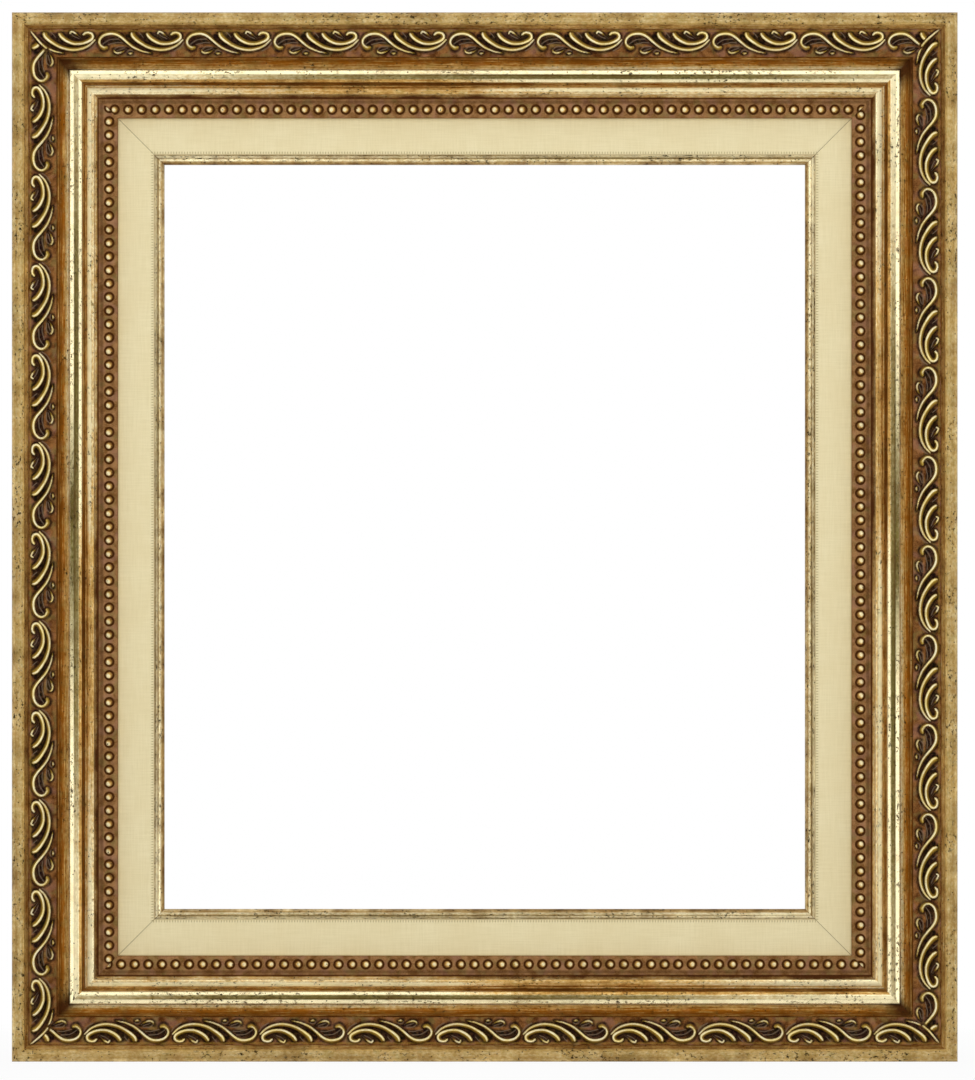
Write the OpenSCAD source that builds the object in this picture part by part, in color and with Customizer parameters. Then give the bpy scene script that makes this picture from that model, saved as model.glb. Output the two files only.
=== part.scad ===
// Ornate gilded picture frame with a linen-covered slip, empty, 350 x 405 mm picture size.
// It is drawn lying on its back, with x to the right, y up the picture and z towards the viewer,
// and then stood up on its bottom edge, so that the front faces -Y. Each side of the frame is
// the bottom side turned in quarter turns, clockwise as the viewer sees it. On a side, y counts
// inwards from the outer edge of the whole frame and z counts forwards from its wooden back.

/* [Picture] */
// Width of the picture panel that the frame takes
picture_w = 350; // [250:5:600]
// Height of the picture panel that the frame takes
picture_h = 405; // [250:5:700]
// Play left all round a picture in its rebate
picture_play = 1; // [0.5:0.25:2]

/* [Moulding bands, from the outer edge inwards] */
// Plain worn rim
rim_w = 6.9; // [6:0.1:9]
// Slope from the rim down to the scroll band
step_w = 1.9; // [1:0.1:3]
// Band of scrolls
scroll_w = 14.8; // [12:0.1:18]
// Quirk, the narrow groove beside the scrolls
quirk_w = 0.8; // [0.4:0.1:1.5]
// Narrow fillet above the cove
cove_lip_w = 0.5; // [0.3:0.1:1]
// Radius of the large cove
cove_r = 5; // [4:0.1:5.5]
// Narrow flat between the cove and the torus
cove_foot_w = 0.4; // [0.3:0.1:1]
// Diameter of the torus, the large round bar
torus_d = 6.8; // [5:0.1:8]
// Groove inside the torus
groove_w = 1.5; // [1:0.1:3]
// Diameter of the thin bead
bead_d = 0.9; // [0.6:0.1:1.2]
// Slope between the thin bead and the astragal
slope_w = 1.1; // [0.8:0.1:2]
// Diameter of the astragal, the smaller round bar
astragal_d = 2.9; // [2.4:0.1:3.4]
// Radius of the small cove inside the astragal
small_cove_r = 1.8; // [1.2:0.1:2]
// Narrow fillet beside the pearls
pearl_lip_w = 0.6; // [0.4:0.1:1.5]
// Band of pearls, up to the sight edge of the moulding
pearl_w = 10.3; // [9:0.1:14]

/* [Moulding heights, from the wooden back forwards] */
// Depth of the moulding, back to rim
frame_depth = 38; // [36:0.5:44]
// Ground of the scroll band
scroll_t = 33; // [32:0.1:34]
// Top of the cove
cove_t = 32.6; // [32:0.1:33]
// Axis of the torus
torus_t = 27.4; // [26.5:0.1:28]
// Bottom of the groove inside the torus
groove_t = 25.2; // [24.8:0.1:25.5]
// Axis of the astragal
astragal_t = 26.4; // [26:0.1:27]
// Ground of the pearl band
pearl_t = 24.5; // [23.5:0.1:24.6]
// Rebate for the slip, up to the underside of the moulding's lip
rebate_t = 18; // [16:0.5:19]
// Width of the moulding's lip over the slip
lip_w = 6; // [5:0.5:8]

/* [Pressed ornament] */
// Thickness of the ornament strips below their ground
strip_t = 1.6; // [1:0.1:2]
// Play on each side of a scroll strip in its channel
strip_play = 0.05; // [0.02:0.01:0.2]
// Length of one scroll before it is fitted to the side
scroll_pitch = 47; // [40:1:56]
// Outer corner to the curl of the first whole scroll
scroll_lead = 46.1; // [40:0.5:52]
// Curl of the last scroll to the far outer corner
scroll_tail = 36.6; // [32:0.5:40]
// Height of the scroll ribs above their ground
rib_h = 2.3; // [1.5:0.1:3]
// Widest part of a scroll rib at its foot
rib_w = 2.5; // [2:0.1:3]
// Distance between pearls before it is fitted to the side
pearl_pitch = 7.2; // [6:0.1:9]
// Outer corner to the first whole pearl
pearl_lead = 54.4; // [54:0.1:58]
// Last pearl to the far outer corner
pearl_tail = 50.6; // [48:0.1:54]
// Diameter of a pearl
pearl_d = 3.7; // [3:0.1:5]
// Row of pearls, in from the edge of its band
pearl_row = 5.6; // [4:0.1:6]

/* [Slip with linen] */
// Play all round the slip in the moulding
slip_play = 0.8; // [0.5:0.1:1.5]
// Width of the slip, outer edge to sight edge
slip_w = 29.8; // [24:0.1:40]
// Width of the gilt sight edge, which is also the lip over the picture
sight_edge_w = 6; // [5:0.1:7]
// Back of the slip, in front of the back of the moulding
slip_back_t = 3.5; // [3.2:0.1:4]
// Thickness of the linen with its glue
linen_t = 0.5; // [0.3:0.1:1]
// How far the linen falls towards the picture
linen_fall = 1.5; // [0.5:0.1:3]
// Height of the gilt sight edge above the linen beside it
sight_rise = 0.5; // [0.3:0.1:1]
// Rebate for the picture, measured from the back of the slip
picture_rebate = 7; // [5:0.5:8]

/* [Hanging hardware] */
// Height of the rings' axis above the middle of the frame
hanger_up = 130; // [60:5:160]
// Thickness of the hanger straps
strap_t = 0.9; // [0.6:0.1:1.5]
// Width of the hanger straps
strap_w = 11; // [9:0.5:13]
// Length of the hanger straps, from the ring's axis to the rounded end
strap_l = 40; // [34:1:50]
// Diameter of the ring's straight bar
ring_bar_d = 2; // [1.6:0.1:2.4]
// Width of the ring, between the middles of its wire
ring_w = 20; // [18:0.5:24]
// Play all round the ring's bar in its knuckle
ring_play = 0.05; // [0.03:0.01:0.1]
// Ring to strap, where the ring hangs over it
ring_gap = 0.3; // [0.2:0.05:0.6]
// Shank diameter of the hanger screws
hanger_screw_d = 3; // [2.5:0.1:3.5]
// Length of the hanger screws in the wood
hanger_screw_l = 14; // [10:1:16]
// Thickness of the wall bumpers
bumper_t = 4.5; // [4.3:0.1:6]
// Diameter of the wall bumpers
bumper_d = 12; // [8:1:16]

/* [Turn buttons] */
// Thickness of the turn buttons
button_t = 1.3; // [1:0.1:1.5]
// Width of the turn buttons
button_w = 8; // [6.5:0.5:9]
// Reach of the turn buttons from their screw
button_reach = 14.5; // [13:0.5:15]
// Shank diameter of the turn button screws
button_screw_d = 2.6; // [2:0.1:3]
// Length of the turn button screws in the wood
button_screw_l = 8; // [6:0.5:10]
// Play round and under a turn button
button_play = 0.08; // [0.05:0.01:0.1]
// Screw of a turn button, in from the outer edge of the slip
button_in = 15; // [14.9:0.1:15.5]

/* [Corner and retaining hardware] */
// Thickness of the V-nails
nail_t = 0.8; // [0.5:0.1:1.2]
// Length of each wing of a V-nail
nail_wing = 6; // [4:0.5:8]
// Height of the V-nails
nail_h = 10; // [7:1:12]
// Play of each nail and point in the wood
nail_play = 0.05; // [0.02:0.01:0.1]
// Length of the framer's points
point_l = 14; // [10:1:16]
// Width of the framer's points
point_w = 6; // [4:0.5:10]
// Thickness of the framer's points
point_t = 0.9; // [0.6:0.1:1.2]

/* [Hidden] */
$fn = 96;
// Overrun of every cut
over = 1;

// Edges of the bands, counted inwards from the outer edge
step_s = rim_w;
scroll_s = step_s + step_w;
quirk_s = scroll_s + scroll_w;
cove_lip_s = quirk_s + quirk_w;
cove_s = cove_lip_s + cove_lip_w;
cove_foot_s = cove_s + cove_r;
torus_s = cove_foot_s + cove_foot_w;
groove_s = torus_s + torus_d;
bead_s = groove_s + groove_w;
slope_s = bead_s + bead_d;
astragal_s = slope_s + slope_w;
small_cove_s = astragal_s + astragal_d;
pearl_lip_s = small_cove_s + small_cove_r;
pearl_s = pearl_lip_s + pearl_lip_w;
moulding_w = pearl_s + pearl_w;
rebate_s = moulding_w - lip_w;
slip_s = rebate_s + slip_play;
sight_s = slip_s + slip_w;
picture_s = sight_s - sight_edge_w;

// Overall size, and the length and place of each side: bottom, left, top, right
overall_w = picture_w + 2 * (picture_play + picture_s);
overall_h = picture_h + 2 * (picture_play + picture_s);
side_len = [overall_w, overall_h, overall_w, overall_h];
side_span = [overall_h, overall_w, overall_h, overall_w];

// Rounding of the rim, outside and inside
rim_outer_r = rim_w * 0.32;
rim_inner_r = rim_w * 0.23;
// Height of the rim's inner wall, and of the step below it
step_t = scroll_t + (frame_depth - scroll_t) * 0.55;
step_foot_t = scroll_t + (frame_depth - scroll_t) * 0.08;
// Floors of the quirk and of the narrow flat beside the torus
quirk_t = scroll_t - strip_t * 0.6;
cove_foot_t = cove_t - cove_r - cove_foot_w;
// Foot of the slope between the thin bead and the astragal
slope_t = astragal_t - bead_d / 2;

// Front of the slip's wood, and the linen on it
slip_front_t = rebate_t - linen_t;
linen_foot_t = slip_front_t - linen_fall;
gilt_t = linen_foot_t + linen_t + sight_rise;
// Round nose of the gilt sight edge
nose_r = sight_edge_w * 0.3;
nose_t = gilt_t - nose_r * 0.8;
picture_t = slip_back_t + picture_rebate;

// Knuckle of a hanger strap round the ring's bar
knuckle_bore_r = ring_bar_d / 2 + ring_play;
knuckle_r = knuckle_bore_r + strap_t;
ring_axis_t = strap_t + ring_gap + ring_bar_d / 2;
knuckle_l = strap_w * 0.8;
ring_wire_r = ring_bar_d / 2 * 0.96;
hanger_s = rebate_s / 2;
screw_head_r = hanger_screw_d * 1.05;
screw_head_t = hanger_screw_d * 0.5;
// Screws of a strap, down from the ring's axis: one clear of the hanging ring, one near the end
strap_hole_places = [ring_w / 2 + ring_bar_d / 2 + screw_head_r + ring_gap, strap_l - strap_w * 0.7];

// Turn button and its screw
button_back_t = slip_back_t - button_play - button_t;
button_head_r = button_screw_d * 1.1;
button_head_t = button_back_t - button_play - button_screw_d * 0.4;
button_s = slip_s + button_in;

// Places of the V-nails across the moulding and the slip, as shares of their widths
moulding_nail_shares = [0.2, 0.55];
slip_nail_share = 0.33;
// Places of the framer's points along a side
point_shares = [-0.25, 0.25];
// Length of a point that is driven into the wood
point_sunk = point_l * 0.45;
// Corner to the middle of a wall bumper
bumper_in = bumper_d;

// How far back the hardware reaches, which centres the depth on the origin
back_reach = bumper_t;
depth_shift = (frame_depth - back_reach) / 2;

// Scroll ornament. Each row is a point on the middle of a rib: its place along the scroll as a
// share of the pitch, its place across as a share of the band, and its width as a share of rib_w.
s_rib_shares = [
    [0.100, 0.690, 0.75], [0.045, 0.672, 1.00], [0.006, 0.540, 0.80], [0.000, 0.400, 0.80],
    [0.030, 0.255, 0.90], [0.085, 0.168, 0.95], [0.145, 0.148, 1.00], [0.205, 0.185, 1.00],
    [0.265, 0.295, 0.95], [0.330, 0.495, 0.90], [0.401, 0.668, 0.75], [0.490, 0.800, 0.50],
    [0.589, 0.862, 0.12]];
long_rib_shares = [
    [0.368, 0.105, 1.20], [0.401, 0.311, 1.05], [0.464, 0.500, 1.00], [0.551, 0.657, 1.00],
    [0.640, 0.732, 1.00], [0.730, 0.748, 0.95], [0.820, 0.695, 0.80], [0.895, 0.555, 0.60],
    [0.952, 0.390, 0.25]];
hook_rib_shares = [
    [0.556, 0.105, 1.15], [0.590, 0.300, 1.05], [0.648, 0.450, 1.00], [0.725, 0.532, 1.00],
    [0.805, 0.528, 1.00], [0.878, 0.446, 0.95], [0.922, 0.325, 0.90], [0.926, 0.200, 0.85],
    [0.895, 0.130, 0.80], [0.848, 0.140, 0.75], [0.818, 0.205, 0.60]];
upper_leaf_shares = [
    [0.668, 0.110, 0.35], [0.684, 0.060, 0.45], [0.730, 0.150, 0.45], [0.806, 0.336, 0.12]];
lower_leaf_shares = [
    [0.172, 0.795, 0.30], [0.200, 0.885, 0.50], [0.262, 0.830, 0.45], [0.318, 0.665, 0.12]];
// Middle of the small drop, and its half length and half width
drop_share = [0.357, 0.868];
drop_half_shares = [0.030, 0.038];
// Height of a rib's thin end, as a share of its full height
thin_h_share = 0.35;
// How far a drop reaches into the strip, as a share of its thickness
drop_sink_share = 0.3;
// Size of a drop's top, as a share of its foot
drop_top_share = 0.33;
// Facets round a pearl and round a drop, kept few for the hundreds of them
pearl_facets = 24;
drop_facets = 6;
// Cross recess of a screw: reach as a share of the head's radius, width as a share of the
// shank's diameter, depth as a share of the head's height
recess_reach_share = 0.6;
recess_width_share = 0.25;
recess_depth_share = 0.5;

function unit(v) = v / norm(v);
function last(list) = len(list) - 1;

// Direction of a path at point i, and the direction square to it
function along(path, i) = unit(path[min(i + 1, last(path))] - path[max(i - 1, 0)]);
function across(path, i) = let (a = along(path, i)) [-a[1], a[0]];

// Stands the frame up: y becomes height, z becomes -Y, and the bottom edge lies at Z = 0
module upright() {
    translate([0, depth_shift, overall_h / 2]) rotate([90, 0, 0]) children();
}

// Side k of the frame: 0 bottom, 1 left, 2 top, 3 right
module on_side(k) {
    upright() rotate([0, 0, -90 * k]) translate([0, -side_span[k] / 2, 0]) children();
}

// Space between the two mitre planes of a side, from s = a to s = b and from z = lo to z = hi
module mitre_space(k, a, b, lo, hi) {
    half = side_len[k] / 2;
    translate([0, 0, lo]) linear_extrude(hi - lo)
        polygon([[a - half, a], [half - a, a], [half - b, b], [b - half, b]]);
}

// Blank for a strip of ornament, from s = a to s = b with its ground at top, before it is cut
module blank(k, a, b, thick, top) {
    translate([-side_len[k] / 2, a - over, top - thick - over])
        cube([side_len[k], b - a + 2 * over, thick + over]);
}

// A profile drawn in s and z, run along side k and cut to the mitres
module mitred_run(k) {
    intersection() {
        rotate([90, 0, 90]) linear_extrude(side_len[k] + 2 * over, center = true) children();
        mitre_space(k, -over, sight_s + over, -over, frame_depth + over);
    }
}

// Cross-section of the main moulding: stepped wood, with its round bars added and coves cut
module moulding_profile() {
    difference() {
        union() {
            polygon([
                [0, 0], [rebate_s, 0], [rebate_s, rebate_t], [moulding_w, rebate_t],
                [moulding_w, pearl_t - strip_t], [pearl_s, pearl_t - strip_t],
                [pearl_s, pearl_t], [pearl_lip_s, pearl_t], [pearl_lip_s, astragal_t],
                [astragal_s, astragal_t], [slope_s, slope_t], [bead_s, slope_t],
                [bead_s, groove_t], [groove_s, groove_t], [groove_s, torus_t],
                [torus_s, torus_t], [torus_s, cove_foot_t], [cove_foot_s, cove_foot_t],
                [cove_foot_s, cove_t], [cove_lip_s, cove_t], [cove_lip_s, quirk_t],
                [quirk_s, quirk_t], [quirk_s, scroll_t - strip_t],
                [scroll_s, scroll_t - strip_t], [scroll_s, step_foot_t], [step_s, step_t],
                [rim_w, frame_depth - rim_inner_r], [rim_w - rim_inner_r, frame_depth],
                [rim_outer_r, frame_depth], [0, frame_depth - rim_outer_r]]);
            translate([rim_outer_r, frame_depth - rim_outer_r]) circle(rim_outer_r);
            translate([rim_w - rim_inner_r, frame_depth - rim_inner_r]) circle(rim_inner_r);
            translate([torus_s + torus_d / 2, torus_t]) circle(d = torus_d);
            translate([bead_s + bead_d / 2, slope_t]) circle(d = bead_d);
            translate([astragal_s + astragal_d / 2, astragal_t]) circle(d = astragal_d);
        }
        cove_cut(cove_foot_s, cove_t, cove_r);
        cove_cut(pearl_lip_s, astragal_t, small_cove_r);
    }
}

// Quarter of a circle that cuts a cove, outwards and backwards of its centre
module cove_cut(s, t, r) {
    translate([s, t]) intersection() {
        circle(r);
        translate([-r, -r]) square(r);
    }
}

// Cross-section of the slip: a flat back and a sloping face for the linen
module slip_profile() {
    polygon([
        [slip_s, slip_back_t], [picture_s, slip_back_t], [picture_s, linen_foot_t],
        [moulding_w, slip_front_t], [slip_s, slip_front_t]]);
}

// Cross-section of the gilt sight edge: a lip in front of the picture, with a small step beside
// the linen and a round nose
module sight_edge_profile() {
    polygon([
        [picture_s, picture_t], [sight_s, picture_t], [sight_s, nose_t],
        [sight_s - nose_r, nose_t], [sight_s - 2 * nose_r, nose_t],
        [sight_s - 2 * nose_r, gilt_t], [picture_s + sight_rise, gilt_t],
        [picture_s, gilt_t - sight_rise / 2]]);
    translate([sight_s - nose_r, nose_t]) circle(nose_r);
}

// Cross-section of the linen over the slip's face
module linen_profile() {
    polygon([
        [slip_s, slip_front_t], [moulding_w, slip_front_t], [picture_s, linen_foot_t],
        [picture_s, linen_foot_t + linen_t], [moulding_w, rebate_t], [slip_s, rebate_t]]);
}

// V-nail: two thin wings along the two sides that meet in a corner, with extra all round
module v_nail(at, back_t, extra) {
    for (turn = [0, 1]) mirror([turn, -turn, 0])
        translate([at - nail_t / 2 - extra, at - nail_t / 2 - extra, back_t - extra])
            cube([nail_wing + 2 * extra, nail_t + 2 * extra, nail_h + 2 * extra]);
}

// The V-nails at one place on the mitre, in every corner of the frame
module v_nails(at, back_t, extra) {
    for (side_x = [0, 1], side_y = [0, 1])
        mirror([side_x, 0, 0]) mirror([0, side_y, 0])
            translate([-overall_w / 2, -overall_h / 2, 0]) v_nail(at, back_t, extra);
}

module frame_nails(extra) {
    for (share = moulding_nail_shares) v_nails(rebate_s * share, 0, extra);
}

module slip_nails(extra) {
    v_nails(slip_s + slip_w * slip_nail_share, slip_back_t, extra);
}

// Flat steel points, driven into the rebate's wall and lying on the slip's back
module points_on(k, extra) {
    for (share = point_shares)
        translate([side_len[k] * share - point_w / 2 - extra, rebate_s - point_sunk - extra,
                slip_back_t - point_t - extra])
            cube([point_w + 2 * extra, point_l + 2 * extra, point_t + 2 * extra]);
}

// The places of one strap's screws, down from the ring's axis
module at_hanger_screws() {
    for (down = strap_hole_places) translate([0, -down, 0]) children();
}

// Place of a hanger, with y up the picture and the ring's bar along x
module at_hanger(side) {
    upright() translate([side * (overall_w / 2 - hanger_s), hanger_up, 0]) children();
}

// One mitred length of the main moulding with its slots and pilot holes
module rail(k) {
    color("goldenrod") difference() {
        on_side(k) mitred_run(k) moulding_profile();
        upright() frame_nails(nail_play);
        on_side(k) points_on(k, nail_play);
        if (k == 1) at_hanger(-1) hanger_pilots();
        if (k == 3) at_hanger(1) hanger_pilots();
    }
}

module hanger_pilots() {
    at_hanger_screws() translate([0, 0, -over])
        cylinder(d = hanger_screw_d + 2 * nail_play, h = hanger_screw_l + over + nail_play);
}

// Triangular rib along a path on the ground of the band, higher where it is wider
module rib(path, widths) {
    rings = [for (i = [0:last(path)]) let (
        half = across(path, i) * widths[i] / 2,
        top = rib_h * (thin_h_share + (1 - thin_h_share) * min(1, widths[i] / rib_w)))
        each [[each path[i] - half, 0], [each path[i] + half, 0], [each path[i], top]]];
    end = 3 * last(path);
    skin = [for (i = [0:3:end - 3], j = [0:2])
        [i + j, i + 3 + j, i + 3 + (j + 1) % 3, i + (j + 1) % 3]];
    polyhedron(rings, concat([[0, 1, 2]], skin, [[end + 2, end + 1, end]]), convexity = 8);
}

// A rib from its table of shares, on side k with its curl at distance u from the start corner
module shaped_rib(k, shares, u, pitch) {
    rib([for (p = shares) [side_len[k] / 2 - u - p[0] * pitch, scroll_s + p[1] * scroll_w]],
        [for (p = shares) p[2] * rib_w]);
}

// Small oval drop below the leaf
module drop(k, u, pitch) {
    translate([side_len[k] / 2 - u - drop_share[0] * pitch,
            scroll_s + drop_share[1] * scroll_w, 0])
        hull() {
            linear_extrude(strip_t * drop_sink_share, center = true)
                scale([drop_half_shares[0] * pitch, drop_half_shares[1] * scroll_w])
                    circle(1, $fn = drop_facets);
            linear_extrude(rib_h * thin_h_share)
                scale([drop_half_shares[0] * pitch, drop_half_shares[1] * scroll_w])
                    circle(drop_top_share, $fn = drop_facets);
        }
}

// One whole scroll: three main ribs, two leaves and a drop
module scroll(k, u, pitch) {
    for (shares = [s_rib_shares, long_rib_shares, hook_rib_shares,
            upper_leaf_shares, lower_leaf_shares])
        shaped_rib(k, shares, u, pitch);
    drop(k, u, pitch);
}

// Strip of scrolls, running clockwise round the frame. It starts with the end of one scroll
// and ends with the start of another, both cut by the mitres.
module scroll_strip(k) {
    run = side_len[k] - scroll_lead - scroll_tail;
    count = max(1, round(run / scroll_pitch));
    pitch = run / count;
    inner = scroll_s + strip_play;
    color("darkgoldenrod") on_side(k) translate([0, 0, scroll_t]) intersection() {
        mitre_space(k, inner, quirk_s - strip_play, -strip_t, rib_h + over);
        union() {
            blank(k, scroll_s, quirk_s, strip_t, 0);
            for (i = [-1:count]) scroll(k, scroll_lead + i * pitch, pitch);
        }
    }
}

// Strip of pearls, running clockwise round the frame; the last pearl is cut by the mitre
module pearl_strip(k) {
    run = side_len[k] - pearl_lead - pearl_tail;
    count = max(1, round(run / pearl_pitch));
    color("peru") on_side(k) intersection() {
        mitre_space(k, pearl_s, moulding_w, pearl_t - strip_t, pearl_t + pearl_d);
        union() {
            blank(k, pearl_s, moulding_w, strip_t, pearl_t);
            for (i = [0:count])
                translate([side_len[k] / 2 - pearl_lead - i * run / count,
                        pearl_s + pearl_row, pearl_t])
                    sphere(d = pearl_d, $fn = pearl_facets);
        }
    }
}

// One mitred length of the slip, with its nail slots and the turn button's pilot hole
module slip(k) {
    color("tan") difference() {
        on_side(k) mitred_run(k) slip_profile();
        upright() slip_nails(nail_play);
        on_side(k) translate([0, button_s, slip_back_t - over])
            cylinder(d = button_screw_d + 2 * nail_play, h = button_screw_l + over + nail_play);
    }
}

module linen(k) {
    color("wheat") on_side(k) mitred_run(k) linen_profile();
}

module sight_edge(k) {
    color("gold") on_side(k) mitred_run(k) sight_edge_profile();
}

// Strap hanger: a flat strap with a rounded end, two screw holes and a knuckle for the ring
module hanger_strap(side) {
    color("silver") at_hanger(side) difference() {
        union() {
            translate([-strap_w / 2, strap_w / 2 - strap_l, -strap_t])
                cube([strap_w, strap_l - strap_w / 2, strap_t]);
            translate([0, strap_w / 2 - strap_l, -strap_t]) cylinder(d = strap_w, h = strap_t);
            translate([0, 0, -ring_axis_t]) rotate([0, 90, 0])
                cylinder(r = knuckle_r, h = knuckle_l, center = true);
        }
        translate([0, 0, -ring_axis_t]) rotate([0, 90, 0])
            cylinder(r = knuckle_bore_r, h = strap_w + over, center = true);
        at_hanger_screws() translate([0, 0, -strap_t - over])
            cylinder(d = hanger_screw_d + 4 * nail_play, h = strap_t + 2 * over);
    }
}

// Ring with a straight bar in the knuckle, hanging down over its strap
module hanger_ring(side) {
    color("silver") at_hanger(side) translate([0, 0, -ring_axis_t]) {
        rotate([0, 90, 0])
            cylinder(d = ring_bar_d, h = ring_w + ring_bar_d, center = true);
        rotate([0, 0, 180]) rotate_extrude(angle = 180)
            translate([ring_w / 2, 0]) circle(ring_wire_r);
    }
}

// Pan-head screw with a cross recess: shank forwards from z = 0, head behind it
module screw(shank_d, shank_l, head_r, head_t) {
    reach = head_r * recess_reach_share;
    recess_w = shank_d * recess_width_share;
    cylinder(d = shank_d, h = shank_l);
    difference() {
        translate([0, 0, -head_t]) cylinder(r = head_r, h = head_t);
        for (turn = [0, 90]) rotate([0, 0, turn])
            translate([-reach, -recess_w / 2, -head_t - over])
                cube([2 * reach, recess_w, head_t * recess_depth_share + over]);
    }
}

module hanger_screws() {
    color("silver") for (side = [-1, 1]) at_hanger(side) at_hanger_screws()
        translate([0, 0, -strap_t])
            screw(hanger_screw_d, hanger_screw_l + strap_t, screw_head_r, screw_head_t);
}

// Turn button, parked along its side: a flat bar with round ends that turns on its screw
module turn_button(k) {
    far = button_reach - button_w / 2;
    color("silver") on_side(k) translate([0, button_s, button_back_t])
        linear_extrude(button_t) difference() {
            union() {
                circle(d = button_w);
                translate([far, 0]) circle(d = button_w);
                translate([0, -button_w / 2]) square([far, button_w]);
            }
            circle(d = button_screw_d + 2 * button_play);
        }
}

module turn_button_screws() {
    color("silver") for (k = [0:3])
        on_side(k) translate([0, button_s, button_back_t - button_play])
            screw(button_screw_d, button_screw_l + slip_back_t - button_back_t + button_play,
                button_head_r, button_back_t - button_play - button_head_t);
}

// Round pads in the lower corners of the back, which keep the frame off the wall
module wall_bumpers() {
    color("dimgray") upright() for (side = [-1, 1])
        translate([side * (overall_w / 2 - bumper_in), bumper_in - overall_h / 2, -bumper_t])
            cylinder(d = bumper_d, h = bumper_t);
}

module frame_v_nails() { color("silver") upright() frame_nails(0); }
module slip_v_nails() { color("silver") upright() slip_nails(0); }
module framers_points() { color("silver") for (k = [0:3]) on_side(k) points_on(k, 0); }

rail(0);  // bottom_rail
rail(1);  // left_rail
rail(2);  // top_rail
rail(3);  // right_rail
scroll_strip(0);  // bottom_scroll_strip
scroll_strip(1);  // left_scroll_strip
scroll_strip(2);  // top_scroll_strip
scroll_strip(3);  // right_scroll_strip
pearl_strip(0);  // bottom_pearl_strip
pearl_strip(1);  // left_pearl_strip
pearl_strip(2);  // top_pearl_strip
pearl_strip(3);  // right_pearl_strip
slip(0);  // bottom_slip
slip(1);  // left_slip
slip(2);  // top_slip
slip(3);  // right_slip
linen(0);  // bottom_linen
linen(1);  // left_linen
linen(2);  // top_linen
linen(3);  // right_linen
sight_edge(0);  // bottom_sight_edge
sight_edge(1);  // left_sight_edge
sight_edge(2);  // top_sight_edge
sight_edge(3);  // right_sight_edge
frame_v_nails();
slip_v_nails();
framers_points();
hanger_strap(-1);  // left_hanger_strap
hanger_strap(1);  // right_hanger_strap
hanger_ring(-1);  // left_hanger_ring
hanger_ring(1);  // right_hanger_ring
hanger_screws();
turn_button(0);  // bottom_turn_button
turn_button(1);  // left_turn_button
turn_button(2);  // top_turn_button
turn_button(3);  // right_turn_button
turn_button_screws();
wall_bumpers();
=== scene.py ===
"""An ornate gilded picture frame with a linen-covered slip, dressed over its CAD model.

Shapes are worked out in millimetres. On a side of the frame, u runs clockwise along the outer edge
from the corner, s runs inwards from the outer edge and t forwards from the wooden back. on_side()
and on_back() turn such places into metres in the frame's own axes.
"""

import bpy
import numpy as np
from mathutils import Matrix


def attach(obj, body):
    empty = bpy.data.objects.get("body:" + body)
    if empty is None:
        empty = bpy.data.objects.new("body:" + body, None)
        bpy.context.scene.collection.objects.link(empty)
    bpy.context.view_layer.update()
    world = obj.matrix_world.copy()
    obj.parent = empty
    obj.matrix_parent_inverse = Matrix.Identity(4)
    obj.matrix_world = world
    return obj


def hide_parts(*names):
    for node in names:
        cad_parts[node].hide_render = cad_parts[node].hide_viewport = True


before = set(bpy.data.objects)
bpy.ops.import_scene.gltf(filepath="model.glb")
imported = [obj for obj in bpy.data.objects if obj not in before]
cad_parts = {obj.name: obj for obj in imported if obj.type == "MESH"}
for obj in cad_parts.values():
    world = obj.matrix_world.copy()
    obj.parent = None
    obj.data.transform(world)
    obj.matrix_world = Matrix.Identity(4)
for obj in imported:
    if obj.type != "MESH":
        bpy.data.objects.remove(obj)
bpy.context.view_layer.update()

MM = 0.001
SIDES = ("bottom", "left", "top", "right")

# Overall size and the depth of the moulding, with the wooden back this far behind the middle
WIDTH = 501.6
HEIGHT = 556.6
DEPTH = 38.0
BACK_Y = 16.75
LENGTHS = (WIDTH, HEIGHT, WIDTH, HEIGHT)
SPANS = (HEIGHT, WIDTH, HEIGHT, WIDTH)

# Bands of the moulding, inwards from the outer edge
RIM_R = 2.208
SHOULDER_R = 1.587
STEP_S = 6.9
SCROLL_S = 8.8
SCROLL_W = 14.8
QUIRK_S = SCROLL_S + SCROLL_W
COVE_LIP_S = 24.4
COVE_S = 24.9
COVE_R = 5.0
COVE_FOOT_S = 29.9
TORUS_S = 30.3
TORUS_MID = 33.7
GROOVE_S = 37.1
BEAD_S = 38.6
BEAD_R = 0.45
ASTRAGAL_S = 40.6
ASTRAGAL_MID = 42.05
SMALL_COVE_S = 43.5
SMALL_COVE_R = 1.8
PEARL_LIP_S = 45.3
PEARL_S = 45.9
MOULDING_W = 56.2
REBATE_S = 50.2
SLIP_S = 51.0
PICTURE_S = 74.8
LINEN_END_S = 75.42
SIGHT_S = 80.8

# Heights of the bands, forwards from the wooden back
STEP_T = 35.75
STEP_FOOT_T = 33.4
SCROLL_T = 33.0
QUIRK_T = 32.04
COVE_T = 32.6
COVE_FOOT_T = 27.2
GROOVE_T = 25.2
BEAD_T = 25.95
ASTRAGAL_T = 26.4
PEARL_T = 24.5
STRIP_T = 1.6
REBATE_T = 18.0
SLIP_BACK_T = 3.5
SLIP_FRONT_T = 17.5
LINEN_FOOT_T = 16.0
PICTURE_T = 10.5
NOSE_R = 1.55
NOSE_T = 15.49

# The strips of ornament: leads and tails from the outer corners, and pitches before fitting
SCROLL_LEAD = 46.1
SCROLL_TAIL = 36.6
SCROLL_PITCH = 47.0
RIB_H = 2.3
RIB_W = 2.45
PEARL_LEAD = 54.4
PEARL_TAIL = 50.6
PEARL_PITCH = 7.2
PEARL_ROW_S = 51.5
PEARL_R = 1.85
RING_INNER = 1.55
RING_R = 2.95
STITCH_PITCH = 1.44

# How far apart the rows of the strips' grids are, along a side
SCROLL_ROW = 0.31
PEARL_ROW = 0.36

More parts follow.
